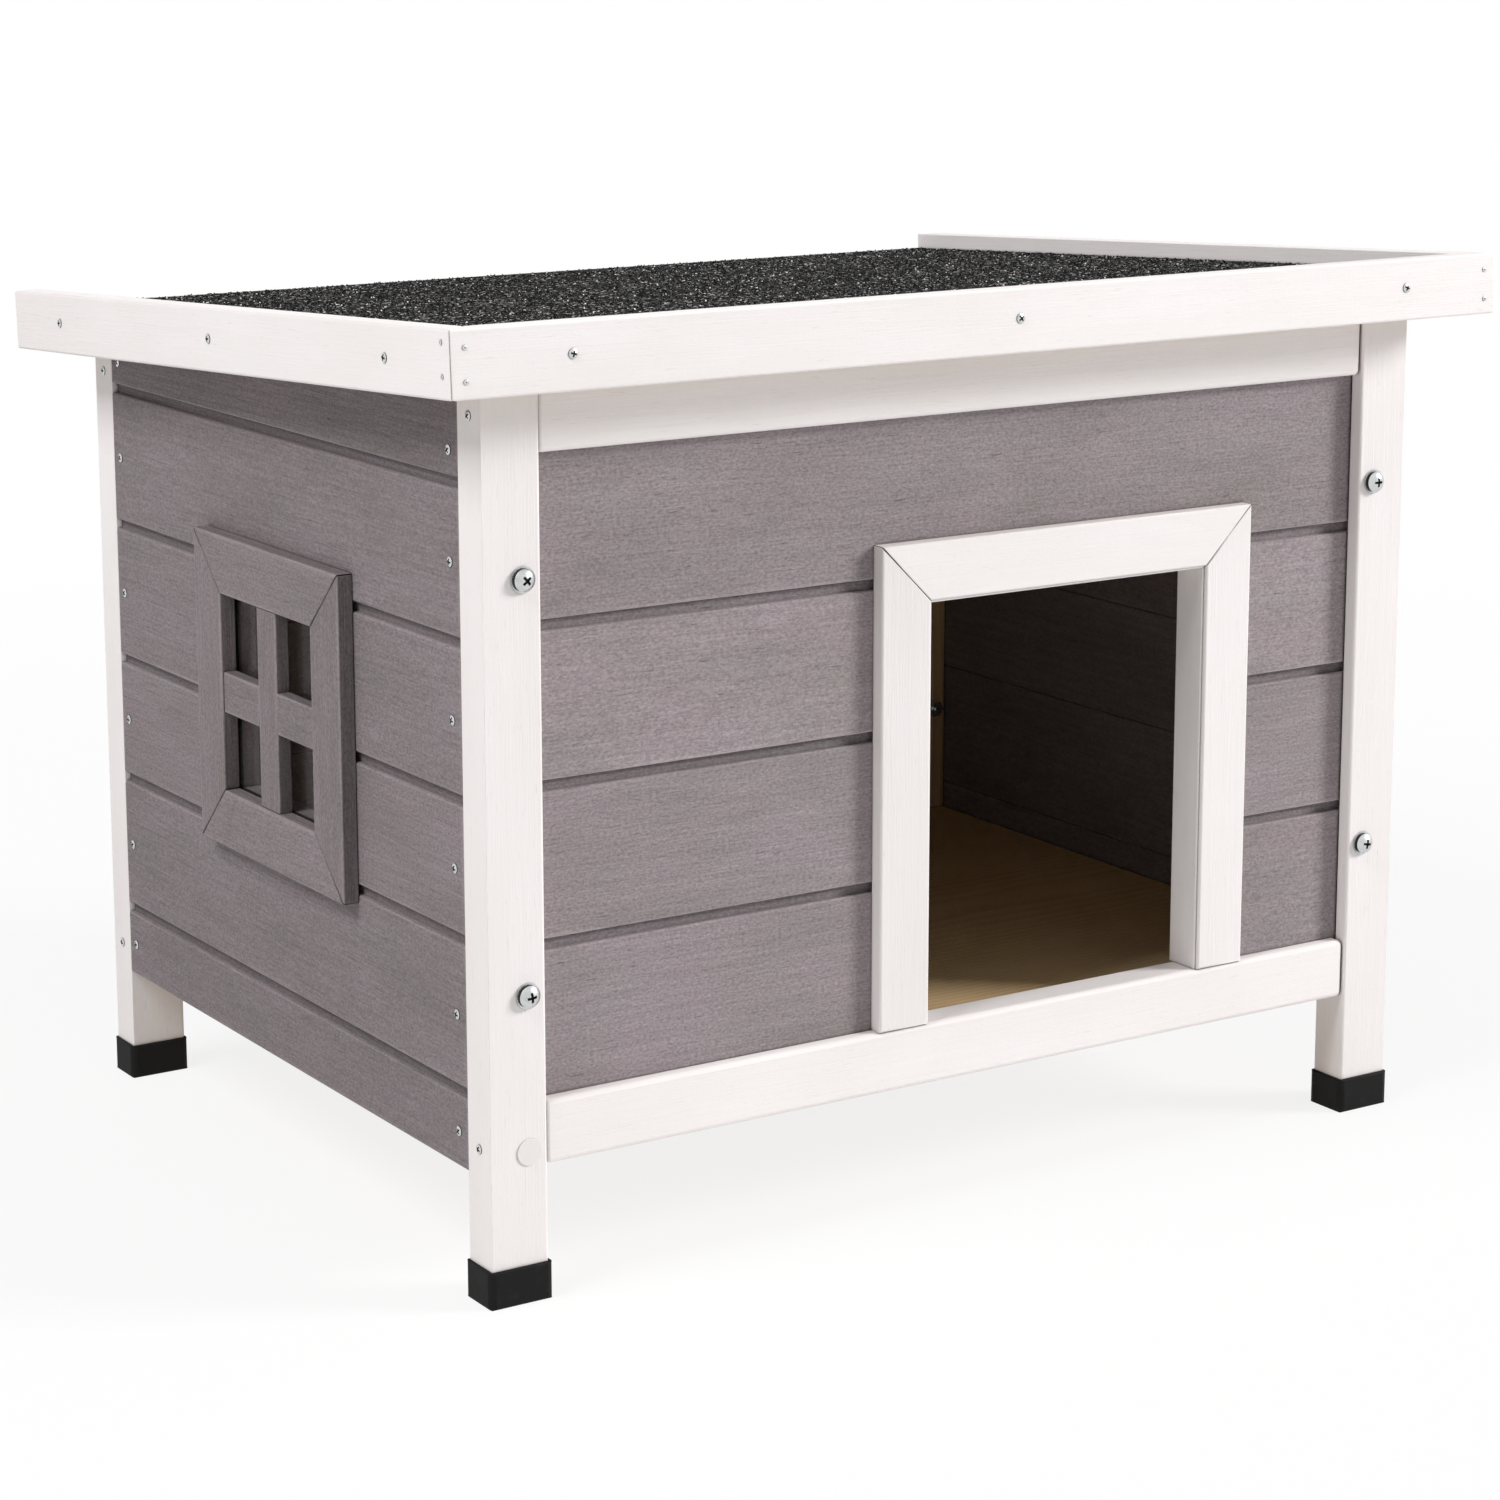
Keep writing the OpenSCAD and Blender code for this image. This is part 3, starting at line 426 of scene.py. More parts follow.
def eased(bm, radius_mm, segments, name):
    """Rounds the edges that carry a weight, and returns a plain object of that name."""
    mesh = bpy.data.meshes.new(name)
    bm.to_mesh(mesh)
    bm.free()
    mesh.shade_smooth()
    mesh.set_sharp_from_angle(angle=SHARP)
    work = new_object("work", mesh)
    bevel = work.modifiers.new("round", "BEVEL")
    bevel.limit_method = "WEIGHT"
    bevel.width = radius_mm * MM
    bevel.segments = segments
    bevel.use_clamp_overlap = False
    level = work.modifiers.new("level", "WEIGHTED_NORMAL")
    level.weight = 100
    level.keep_sharp = True
    return plain_mesh(work, name)


def rounded(node, radius_mm, segments=3, shortest_mm=9, ending=".timber"):
    """A copy of the solid with rounded edges."""
    bm = merged_copy(node)
    weight = weight_layer(bm)
    for edge in edges_to_round(bm, radius_mm * MM, shortest_mm * MM):
        edge[weight] = rounding(node, edge)
    return eased(bm, radius_mm, segments, node + ending)


# %% [markdown]
# A loose part is one solid inside a mesh. Finding them gives each batten its own grain, and later it
# gives each screw its place.

# %% Loose parts of a mesh
def loose_parts(mesh):
    """Lists of vertex numbers, one for each loose part."""
    leader = list(range(len(mesh.vertices)))

    def find(i):
        while leader[i] != i:
            leader[i] = leader[leader[i]]
            i = leader[i]
        return i

    for edge in mesh.edges:
        a, b = find(edge.vertices[0]), find(edge.vertices[1])
        leader[max(a, b)] = min(a, b)
    parts = {}
    for i in range(len(leader)):
        parts.setdefault(find(i), []).append(i)
    return list(parts.values())


# %% [markdown]
# Every piece gets its own spot in the trunk, drawn from a seeded generator, so the same board has the
# same grain on each run. The heart of the trunk lies some centimetres beside the board, as in boards
# sawn from a small log, so the rings cross the face as long, nearly straight lines.

# %% Give a piece its grain
chance = random.Random(11)
TRUNK = 40  # metres either way, longer than a real trunk, so that no two boards share their noise
HEART_ASIDE, HEART_BELOW = (4, 46), (24, 70)  # mm from a board's middle to the heart, least and most


def give_grain(piece, along, across, deeper=0.0):
    """Stores grain, place, half and tone on the piece's points; deeper lowers the tone, so the piece's colour
    comes out darker.
    """
    mesh = piece.data
    turn = np.array([along, across, along.cross(across)])
    points = np.empty(len(mesh.vertices) * 3)
    mesh.vertices.foreach_get("co", points)
    own = points.reshape(-1, 3) @ turn.T
    grain, place, half = own.copy(), own.copy(), own.copy()
    tone = np.zeros(len(own))
    for part in loose_parts(mesh):
        low, high = own[part].min(0), own[part].max(0)
        middle = (low + high) / 2
        place[part] = own[part] - middle
        half[part] = (high - low) / 2
        heart = (chance.uniform(-TRUNK, TRUNK), chance.choice((-1, 1)) * chance.uniform(*HEART_ASIDE) * MM,
                 chance.uniform(*HEART_BELOW) * MM)
        grain[part] = own[part] - middle + heart
        tone[part] = chance.uniform(-1, 1) - deeper
    for name, values in (("grain", grain), ("place", place), ("half", half)):
        mesh.attributes.new(name, "FLOAT_VECTOR", "POINT").data.foreach_set("vector", values.ravel())
    mesh.attributes.new("tone", "FLOAT", "POINT").data.foreach_set("value", tone)


# %% [markdown]
# A groove between two boards is given painted shade, darker than the light alone makes it, and the
# joint in its floor is painted nearly black as a shadow. The eased edge beside it is painted paler as a
# highlight, and the sides of the window's mouldings get painted shade. The tone of a point can say all
# this, from how deep the point lies behind the wall's face.

# %% Paint shade into the grooves and joints
OUTWARD = {"front": -Y, "rear": Y, "left": -X, "right": X, "window": -X}
JOINT = 14  # steps of tone that paint a joint near black, as painted shadow
MOULDING_SIDE = 6  # steps of painted shade on the sides of the window's mouldings and bars
GROOVE = [  # (from and to this depth in mm, steps of tone on front and rear boards, on side boards)
    (0.02, 0.9, -4, -4),  # the eased edge of the face, painted paler as a highlight
    (2.9, 3.02, 7, 3),  # the floor of the groove, painted shade
    (3.02, 3.95, JOINT, JOINT),  # the edges that turn into the joint, painted shadow
]


def paint_groove_shade(piece, node):
    """Paints shade into a board's grooves and joints and a highlight on its eased edge, or paints shade on a
    moulding's sides.
    """
    mesh, outward = piece.data, OUTWARD[node.split("_")[0]]
    points = np.array([v.co @ outward for v in mesh.vertices])
    depth = (points.max() - points) / MM
    steps = np.zeros(len(depth))
    if "board" in node:
        for near, far, ahead, aside in GROOVE:
            steps[(depth > near) & (depth < far)] = ahead if outward.x == 0 else aside
    else:
        # A moulding's sideways faces are darkened: painted shade.
        for face in mesh.polygons:
            sideways = face.normal - (face.normal @ outward) * outward
            if max(map(abs, sideways)) > 0.99:
                steps[list(face.vertices)] = MOULDING_SIDE
    tone = mesh.attributes["tone"].data
    for i in np.flatnonzero(steps):
        tone[i].value -= steps[i]


# %% [markdown]
# A finished piece takes the place of its solid, rides on the same body, and so follows the roof's
# hinge.

# %% Put a piece in its solid's place
def stand_for(piece, node):
    """The piece takes the place of the solid, which is hidden, and rides on its body."""
    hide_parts(node)
    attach(piece, body_of_node[node])


def dress(piece, material):
    """Gives the piece one material and nothing else."""
    piece.data.materials.clear()
    piece.data.materials.append(material)


# %% [markdown]
# The timber is listed once, with the way its fibres run and the radius that the edges were eased to.
# The rails are the softest, with 2.2 mm, and show a rounded lip all round in the photograph. The
# boards were only broken with sandpaper. The roof's pieces lie on a slope that falls to the rear, so
# their fibres follow it.

# %% Legs, rails, boards, trims and roof timbers
ROOF_FALL, ROOF_RUN = 26.0, 459.3  # mm, from the front edge to the rear one
slope = math.atan2(ROOF_FALL, ROOF_RUN)
down_roof = Vector((0, math.cos(slope), -math.sin(slope)))
off_roof = Vector((0, math.sin(slope), math.cos(slope)))

WHITE, GREY = ("white_wood", whitewashed_fir), ("grey_wood", grey_stained_fir)
BARE = ("bare_wood", bare_fir)
TIMBER = [  # (beginning of the names, slot and finish, fibres along, across, edge radius in mm)
    ("leg_front leg_rear", WHITE, Z, X, 1.2),
    ("front_top_rail front_bottom_rail rear_top_rail rear_bottom_rail", WHITE, X, Z, 2.2),
    ("front_board rear_board", GREY, X, Z, 0.8),
    ("left_board right_board", GREY, Y, Z, 0.8),
    ("side_battens", BARE, Z, X, 0.8),
    ("floor_panel", BARE, X, Y, 0.5),
    ("floor_cleats", BARE, Y, X, 0.8),
    ("door_trim_left door_trim_right", WHITE, Z, X, 1.0),
    ("door_trim_top", WHITE, X, Z, 1.0),
    ("window_trim_top window_trim_bottom window_bar_cross", GREY, Y, Z, 1.9),
    ("window_trim_front window_trim_rear window_bar_upright", GREY, Z, Y, 1.9),
    ("fascia_front", WHITE, X, off_roof, 1.0),
    ("fascia_left fascia_right", WHITE, down_roof, off_roof, 1.0),
    ("roof_deck", BARE, X, down_roof, 0.5),
]
# Steps of tone: the side walls came out darker than the front, and single boards differ.
DEEPER = {
    "left_": 6.2, "right_": 6.2, "window_": 6.2, "window_bar": 1.5, "left_board_1": 1.5,
    "left_board_6": 2.0, "door_trim_left": 2.2, "door_trim_top": -0.6, "fascia_front": 1.0,
    "front_bottom_rail": -0.8, "front_board_1": 0.6, "front_board_3": -0.6,
}


def whiten_doorway(piece):
    """White paint on the sawn edges of the front boards that line the doorway."""
    piece.data.materials.append(whitewashed_fir)
    for face in piece.data.polygons:
        if in_doorway(face.center) and abs(face.normal.y) < 0.3:
            face.material_index = 1


timber_count = 0
for beginnings, (slot, finish), along, across, radius in TIMBER:
    for node in sorted(n for n in nodes if n.startswith(tuple(beginnings.split()))):
        piece = rounded(node, radius, shortest_mm=0 if "rail" in node else 9)
        deeper = sum(steps for name, steps in DEEPER.items() if node.startswith(name))
        give_grain(piece, along, across, deeper)
        dress(piece, finish)
        if "board" in node or "window" in node:
            paint_groove_shade(piece, node)
        if node.startswith("front_board"):
            whiten_doorway(piece)
        stand_for(piece, node)
        timber_count += 1
print(timber_count, "timber pieces with eased edges and their own grain")

# %% [markdown]
# The doorway's sides look smooth and white from the moulding to the room inside, though four boards
# with their grooves end there. A thin planed strip lines each side and the top and hides the sawn ends.
# It starts a little behind the moulding's face, which leaves the fine step seen along the opening.

# %% Strips that line the doorway
LINING = 1.2 * MM  # how thick a strip is
lining_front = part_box("door_trim_top")[0][1] + 1.8 * MM
lining_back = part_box("front_board_3")[1][1] + 2.2 * MM
lining_low = DOOR_TOP - LINING
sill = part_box("front_bottom_rail")[1][2]


def planed_strip(name, low, high, along):
    """A straight strip of white fir between two corners."""
    bm = bmesh.new()
    size, middle = Vector(high) - Vector(low), (Vector(high) + Vector(low)) / 2
    bmesh.ops.create_cube(bm, size=1.0, matrix=Matrix.Translation(middle) @ Matrix.Diagonal((*size, 1.0)))
    weight = weight_layer(bm)
    for edge in bm.edges:
        edge[weight] = 1.0
    piece = eased(bm, 0.3, 2, name)
    give_grain(piece, along, Y)
    dress(piece, whitewashed_fir)
    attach(piece, body_of_node["door_trim_top"])


for side, low, high, along in (
        ("left", (DOOR_LEFT, lining_front, sill), (DOOR_LEFT + LINING, lining_back, lining_low), Z),
        ("right", (DOOR_RIGHT - LINING, lining_front, sill), (DOOR_RIGHT, lining_back, lining_low), Z),
        ("top", (DOOR_LEFT, lining_front, lining_low), (DOOR_RIGHT, lining_back, DOOR_TOP), X)):
    planed_strip("door_lining_" + side, low, high, along)
print("doorway lined from", round(lining_front / MM, 1), "to", round(lining_back / MM, 1), "mm")

# %% [markdown]
# The roofing felt is glass fleece soaked in bitumen, with crushed slate rolled into it while hot. The
# chips are about a millimetre, mostly black, with some pale ones that glitter. Two things together
# look right: a shader that splits the surface into millimetre cells, each with its own grey and its
# own small facet, and real loose chips on top, which roughen the outline where the sheet meets the sky.

# %% Bitumen felt and its slate chips
CHIP = 1.25  # mm, width of a granule
CHIP_RELIEF = 0.7 * MM  # from the bitumen to the top of a chip
SLATE_GLOSS = 0.04  # crushed slate is dull, so it reflects far less than a smooth stone


def slate_colours(tree, chance_socket):
    """A ramp from a random number to the grey of a slate chip, most of them dark."""
    ramp = add(tree, "ShaderNodeValToRGB", {"Fac": chance_socket})
    ramp.color_ramp.interpolation = "CONSTANT"
    set_ramp(ramp, (0.0, paint("#060607")), (0.42, paint("#171717")), (0.68, paint("#333232")),
             (0.85, paint("#5E5C5B")), (0.93, paint("#A09D9B")), (0.972, paint("#F6F4F1")))
    return ramp


def felt_sheet_material():
    """Bitumen felt: every cell of a Voronoi pattern is one chip, with its own grey and tilt."""
    material, tree, shader = new_material("bitumen_felt_with_slate")
    where = add(tree, "ShaderNodeTexCoord").outputs["Object"]
    cells = add(tree, "ShaderNodeTexVoronoi", {"Vector": where, "Scale": 1 / (CHIP * MM)})
    pick = add(tree, "ShaderNodeSeparateColor", {0: cells.outputs["Color"]}).outputs
    # A chip is lower at its rim, and some chips sit deeper in the bitumen than others.
    dome = add(tree, "ShaderNodeMath", {0: cells.outputs["Distance"], 1: -1.0}, operation="MULTIPLY")
    height = add(tree, "ShaderNodeMath", {0: pick["Green"], 1: 0.6, 2: dome}, operation="MULTIPLY_ADD")
    bump = add(tree, "ShaderNodeBump", {"Height": height, "Strength": 0.9, "Distance": CHIP_RELIEF})
    rough = add(tree, "ShaderNodeMapRange", {"Value": pick["Blue"], "To Min": 0.7, "To Max": 1.0})
    fill(tree, shader, {"Base Color": slate_colours(tree, pick["Red"]), "Roughness": rough, "Normal": bump,
                        "Specular IOR Level": SLATE_GLOSS})
    return material


def slate_chip_material():
    """Loose slate chips: the attribute `chip` is a random number for each of them."""
    material, tree, shader = new_material("slate_chips")
    number = add(tree, "ShaderNodeAttribute", attribute_name="chip").outputs["Fac"]
    rough = add(tree, "ShaderNodeMapRange", {"Value": number, "To Min": 0.55, "To Max": 0.9})
    fill(tree, shader, {"Base Color": slate_colours(tree, number), "Roughness": rough,
                        "Specular IOR Level": SLATE_GLOSS})
    return material


bitumen_felt, slate_chips = felt_sheet_material(), slate_chip_material()
print("felt materials:", bitumen_felt.name, slate_chips.name)

# %% [markdown]
# A Geometry Nodes tree is a recipe with named sizes. Its sockets are made first, then the object that
# carries it, and its inputs are set by the socket's identifier before anything is evaluated. At the end
# the result is turned to a plain mesh, because the finished model can't carry live instances.

# %% Helpers for Geometry Nodes
def new_recipe(name, **kinds):
    """A Geometry Nodes tree with a Geometry input and output, and inputs of the given kinds."""
    tree = bpy.data.node_groups.new(name, "GeometryNodeTree")
    for way in ("INPUT", "OUTPUT"):
        tree.interface.new_socket("Geometry", in_out=way, socket_type="NodeSocketGeometry")
    for label, kind in kinds.items():
        tree.interface.new_socket(label, in_out="INPUT", socket_type="NodeSocket" + kind)
    return tree, add(tree, "NodeGroupInput").outputs


def follow_recipe(tree, mesh, name, **values):
    """Runs the recipe on the mesh with those sizes, and returns the plain result."""
    work = new_object("work", mesh)
    modifier = work.modifiers.new("recipe", "NODES")
    modifier.node_group = tree
    for item in tree.interface.items_tree:
        if item.in_out == "INPUT" and item.name in values:
            modifier[item.identifier] = values[item.name]
    made = plain_mesh(work, name)
    made.modifiers.clear()
    print(name, len(made.data.polygons), "faces")
    return made


# %% [markdown]
# The chips are strewn on the felt's top with Distribute Points on Faces. A chip is a prism of eight
# triangles, squashed and turned at random: crushed stone is angular, so nothing rounder is needed, and
# with thousands of them every face counts. At the rear the felt ends in a clean cut, with no edging to
# hide a chip that hangs over it, so the points nearest to that cut are deleted.

# %% Recipe: slate chips on the felt
FULL_TURN = 6.28  # radians
CHIPS_PER_M2 = 86000.0
REAR_CUT = 0.5 * MM  # no chip's middle is nearer than this to the rear end


def chip_recipe():
    """Chips on the upward faces of a sheet, in front of its rear end."""
    tree, given = new_recipe("strew_chips", Size="Float", Density="Float", Seed="Int", RearEnd="Float",
                             Sheet="Material", Chips="Material")
    upward = add(tree, "ShaderNodeSeparateXYZ", {0: add(tree, "GeometryNodeInputNormal")}).outputs["Z"]
    is_top = add(tree, "FunctionNodeCompare", {0: upward, 1: 0.3}, operation="GREATER_THAN")
    points = add(tree, "GeometryNodeDistributePointsOnFaces",
                 {"Mesh": given["Geometry"], "Selection": is_top, "Density": given["Density"],
                  "Seed": given["Seed"]})
    back = add(tree, "ShaderNodeSeparateXYZ", {0: add(tree, "GeometryNodeInputPosition")}).outputs["Y"]
    beyond = add(tree, "FunctionNodeCompare", {0: back, 1: given["RearEnd"]}, operation="GREATER_THAN")
    points = add(tree, "GeometryNodeDeleteGeometry", {"Geometry": points, "Selection": beyond},
                 domain="POINT")
    turn = add(tree, "FunctionNodeRandomValue", {0: (0, 0, 0), 1: (FULL_TURN,) * 3, "Seed": 3},
               data_type="FLOAT_VECTOR")
    rotation = add(tree, "FunctionNodeEulerToRotation", {0: turn})
    squash = add(tree, "FunctionNodeRandomValue", {0: (0.45, 0.45, 0.25), 1: (1.1, 0.9, 0.7), "Seed": 5},
                 data_type="FLOAT_VECTOR")
    size = add(tree, "ShaderNodeVectorMath", {0: squash, "Scale": given["Size"]}, operation="SCALE")
    chip = add(tree, "GeometryNodeMeshCylinder", {"Vertices": 3, "Radius": 0.62, "Depth": 0.9})
    strewn = add(tree, "GeometryNodeInstanceOnPoints",
                 {"Points": points, "Instance": chip, "Rotation": rotation, "Scale": size})
    number = add(tree, "FunctionNodeRandomValue", {2: 0.0, 3: 1.0, "Seed": 7}, data_type="FLOAT")
    marked = add(tree, "GeometryNodeStoreNamedAttribute",
                 {"Geometry": strewn, "Name": "chip", "Value": number.outputs[1]},
                 data_type="FLOAT", domain="INSTANCE")
    real = add(tree, "GeometryNodeRealizeInstances", {"Geometry": marked})
    chips = add(tree, "GeometryNodeSetMaterial", {"Geometry": real, "Material": given["Chips"]})
    sheet = add(tree, "GeometryNodeSetMaterial", {"Geometry": given["Geometry"], "Material": given["Sheet"]})
    both = add(tree, "GeometryNodeJoinGeometry", {"Geometry": [sheet, chips]})
    add(tree, "NodeGroupOutput", {"Geometry": both})
    return tree


felt_copy = merged_copy("roof_felt")
felt_mesh = bpy.data.meshes.new("felt")
felt_copy.to_mesh(felt_mesh)
felt_copy.free()
felt = follow_recipe(chip_recipe(), felt_mesh, "roofing_felt", Size=CHIP * MM, Density=CHIPS_PER_M2, Seed=4,
                     RearEnd=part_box("roof_felt")[1][1] - REAR_CUT, Sheet=bitumen_felt, Chips=slate_chips)
stand_for(felt, "roof_felt")

# %% [markdown]
# Screws and bolts are zinc-plated steel: bright, a little blue, and never quite smooth. A screw's
# recess and the rim of its head get a dark zinc, which is painted shade.

# %% Bright zinc on steel
def zinc_material(name, dull, low, high, bright=None):
    """Zinc-plated steel: metallic, with fine tumbling scratches; bright is the passivation's silver."""
    material, tree, shader = new_material(name)
    where = add(tree, "ShaderNodeTexCoord").outputs["Object"]
    colour = paint(dull)
    if bright:
        cast = add(tree, "ShaderNodeTexNoise", {"Vector": where, "Scale": 220.0, "Detail": 3.0})
        colour = add(tree, "ShaderNodeValToRGB", {"Fac": cast})
        set_ramp(colour, (0.3, paint(dull)), (0.55, paint(bright)), (0.75, paint(dull)))
    scratch = add(tree, "ShaderNodeTexNoise", {"Vector": where, "Scale": 2600.0, "Detail": 2.0})
    rough = add(tree, "ShaderNodeMapRange", {"Value": scratch, "To Min": low, "To Max": high})
    bump = add(tree, "ShaderNodeBump", {"Height": scratch, "Strength": 0.12, "Distance": 0.05 * MM})
    fill(tree, shader, {"Base Color": colour, "Roughness": rough, "Normal": bump, "Metallic": 1.0})
    return material


zinc_steel = zinc_material("bright_zinc_plated_steel", "#BFC3C6", 0.14, 0.38, "#D3D4D3")
# Dark zinc that paints shade into screw recesses and onto head rims
shaded_zinc = zinc_material("zinc_in_recesses", "#3A3A3B", 0.45, 0.7)
print("metals:", zinc_steel.name, shaded_zinc.name)

# %% [markdown]
# The solids already say where the screws are, so the points for them are read from the solids: a loose
# part's long axis is the screw's axis, and its widest end is the head.

# %% Points for the fasteners, read from the solids
def fastener_points(node):
    """A mesh with a point at each head, with the attributes outward, reach and spin."""
    bm = merged_copy(node)
    mesh = bpy.data.meshes.new(node + "_points")
    bm.to_mesh(mesh)
    bm.free()
    corners = np.array([v.co for v in mesh.vertices])
    heads, outward, reach, spin = [], [], [], []
    for part in loose_parts(mesh):
        points = corners[part]
        middle = (points.min(0) + points.max(0)) / 2
        values, axes = np.linalg.eigh(np.cov((points - middle).T))
        axis = axes[:, 2]
        along = (points - middle) @ axis
        radius = np.linalg.norm((points - middle) - np.outer(along, axis), axis=1)
        if along[np.argmax(radius)] < 0:
            axis, along = -axis, -along
        heads.append(middle + axis * along.max())
        outward.append(axis)
        reach.append(along.max() - along.min())
        spin.append(chance.uniform(0, math.pi))
    mesh = bpy.data.meshes.new(node + "_points")
    mesh.from_pydata([tuple(h) for h in heads], [], [])
    directions = mesh.attributes.new("outward", "FLOAT_VECTOR", "POINT")
    directions.data.foreach_set("vector", np.array(outward).ravel())
    for name, values in (("reach", reach), ("spin", spin)):
        mesh.attributes.new(name, "FLOAT", "POINT").data.foreach_set("value", values)
    return mesh


# %% [markdown]
# One recipe makes every kind of screw. The head is a ball cut to a cap by a cylinder, with a cross cut
# into it; the shank is a cylinder, stretched to the length that each point carries.

# %% Recipe: a screw at each point
def screw_recipe():
    """A head with a cross recess and a shank at every point; sizes are in millimetres."""
    tree, given = new_recipe("drive_screws", HeadRadius="Float", HeadHeight="Float", DomeRadius="Float",
                             ShankRadius="Float", SlotLength="Float", SlotWidth="Float", SlotDepth="Float",
                             Metal="Material", Dark="Material")
    factors = (("DomeRadius", -1.0), ("HeadHeight", -0.5), ("SlotDepth", 2.0), ("HeadHeight", MM))
    down, half_down, twice, tall = (
        add(tree, "ShaderNodeMath", {0: given[name], 1: factor}, operation="MULTIPLY")
        for name, factor in factors)

    def placed(shape, material, **where):
        """The shape, moved or scaled, with its material."""
        moved = add(tree, "GeometryNodeTransform", {"Geometry": shape, **where})
        return add(tree, "GeometryNodeSetMaterial", {"Geometry": moved, "Material": given[material]})

    # The head hangs under Z = 0, which is its highest point.
    ball = add(tree, "GeometryNodeMeshUVSphere", {"Segments": 48, "Rings": 64, "Radius": given["DomeRadius"]})
    ball = placed(ball, "Metal", Translation=add(tree, "ShaderNodeCombineXYZ", {2: down}))
    # The head's rim comes from the disc and gets the dark zinc: a painted shadow ring round the head.
    disc = add(tree, "GeometryNodeMeshCylinder",
               {"Vertices": 40, "Radius": given["HeadRadius"], "Depth": given["HeadHeight"]})
    disc = placed(disc, "Dark", Translation=add(tree, "ShaderNodeCombineXYZ", {2: half_down}))
    head = add(tree, "GeometryNodeMeshBoolean", {"Mesh 2": [ball, disc]},
               operation="INTERSECT", solver="EXACT")
    # A cutter's faces keep its material, so the recess comes out in the dark zinc: painted shade.
    long, wide = given["SlotLength"], given["SlotWidth"]
    for first, second in ((long, wide), (wide, long)):
        size = add(tree, "ShaderNodeCombineXYZ", {0: first, 1: second, 2: twice})
        bar = placed(add(tree, "GeometryNodeMeshCube", {"Size": size}), "Dark")
        head = add(tree, "GeometryNodeMeshBoolean", {"Mesh 1": head, "Mesh 2": bar},
                   operation="DIFFERENCE", solver="EXACT")
    head = add(tree, "GeometryNodeTransform", {"Geometry": head, "Scale": (MM, MM, MM)})
    # The shank starts under the head and ends where the solid's does.
    reach, outward, spin = (
        add(tree, "GeometryNodeInputNamedAttribute", {"Name": name}, data_type=kind)
        for name, kind in (("reach", "FLOAT"), ("outward", "FLOAT_VECTOR"), ("spin", "FLOAT")))
    length = add(tree, "ShaderNodeMath", {0: reach, 1: tall}, operation="SUBTRACT")
    shank = add(tree, "GeometryNodeMeshCylinder",
                {"Vertices": 16, "Radius": given["ShankRadius"], "Depth": 1.0})
    shank = placed(shank, "Metal", Translation=(0, 0, -0.5), Scale=(MM, MM, 1))
    facing = add(tree, "FunctionNodeAlignRotationToVector", {"Vector": outward}, axis="Z")
    about = add(tree, "FunctionNodeAxisAngleToRotation", {"Axis": (0, 0, 1), "Angle": spin})
    turn = add(tree, "FunctionNodeRotateRotation", {0: facing, 1: about}, rotation_space="LOCAL")
    heads = add(tree, "GeometryNodeInstanceOnPoints",
                {"Points": given["Geometry"], "Instance": head, "Rotation": turn})
    under = add(tree, "ShaderNodeMath", {0: tall, 1: -1.0}, operation="MULTIPLY")
    inward = add(tree, "ShaderNodeVectorMath", {0: outward, "Scale": under}, operation="SCALE")
    lowered = add(tree, "GeometryNodeSetPosition", {"Geometry": given["Geometry"], "Offset": inward})
    stretch = add(tree, "ShaderNodeCombineXYZ", {0: 1.0, 1: 1.0, 2: length})
    shanks = add(tree, "GeometryNodeInstanceOnPoints",
                 {"Points": lowered, "Instance": shank, "Rotation": turn, "Scale": stretch})
    both = add(tree, "GeometryNodeJoinGeometry", {"Geometry": [heads, shanks]})
    add(tree, "NodeGroupOutput", {"Geometry": add(tree, "GeometryNodeRealizeInstances", {"Geometry": both})})
    return tree


screws = screw_recipe()
# In mm: head diameter and height, the dome's rise, shank diameter, and the slot's length, width and depth
FASTENERS = [
    ("leg_bolts", 10.0, 3.6, 2.2, 5.0, 4.6, 1.2, 1.8),
    ("frame_screws roof_screws", 4.4, 0.9, 0.55, 2.6, 2.9, 0.8, 0.8),
    ("board_nails fascia_nails", 2.4, 0.4, 0.15, 1.2, 0.5, 0.5, 0.1),
]
for names, head, tall, rise, shank, long, wide, deep in FASTENERS:
    dome = ((head / 2) ** 2 + rise ** 2) / (2 * rise)
    for node in names.split():
        piece = follow_recipe(screws, fastener_points(node), node + ".zinc", HeadRadius=head / 2,
                              HeadHeight=tall, DomeRadius=dome, ShankRadius=shank / 2, SlotLength=long,
                              SlotWidth=wide, SlotDepth=deep, Metal=zinc_steel, Dark=shaded_zinc)
        piece.data.shade_smooth()
        piece.data.set_sharp_from_angle(angle=math.radians(35))
        stand_for(piece, node)

# %% [markdown]
# The small parts that are left keep the solid's shape, with their own edge rounding: hinge leaves and
# pins, washers and nuts in zinc, the black caps on the feet, and the white disc low on the front left
# leg. The window pane is clear acrylic. Its solid is already right, so it only gets a material. A real
# sheet would mirror more of the studio than the photograph shows, so its Alpha is kept low.

# %% Moulded plastics and the pane
MOULD_RELIEF = 0.1 * MM  # height of the texture that the mould leaves
SCUFF = 0.05  # share of dust colour on the most scuffed spots
PLASTIC_GLOSS, PANE_ALPHA = 0.1, 0.2


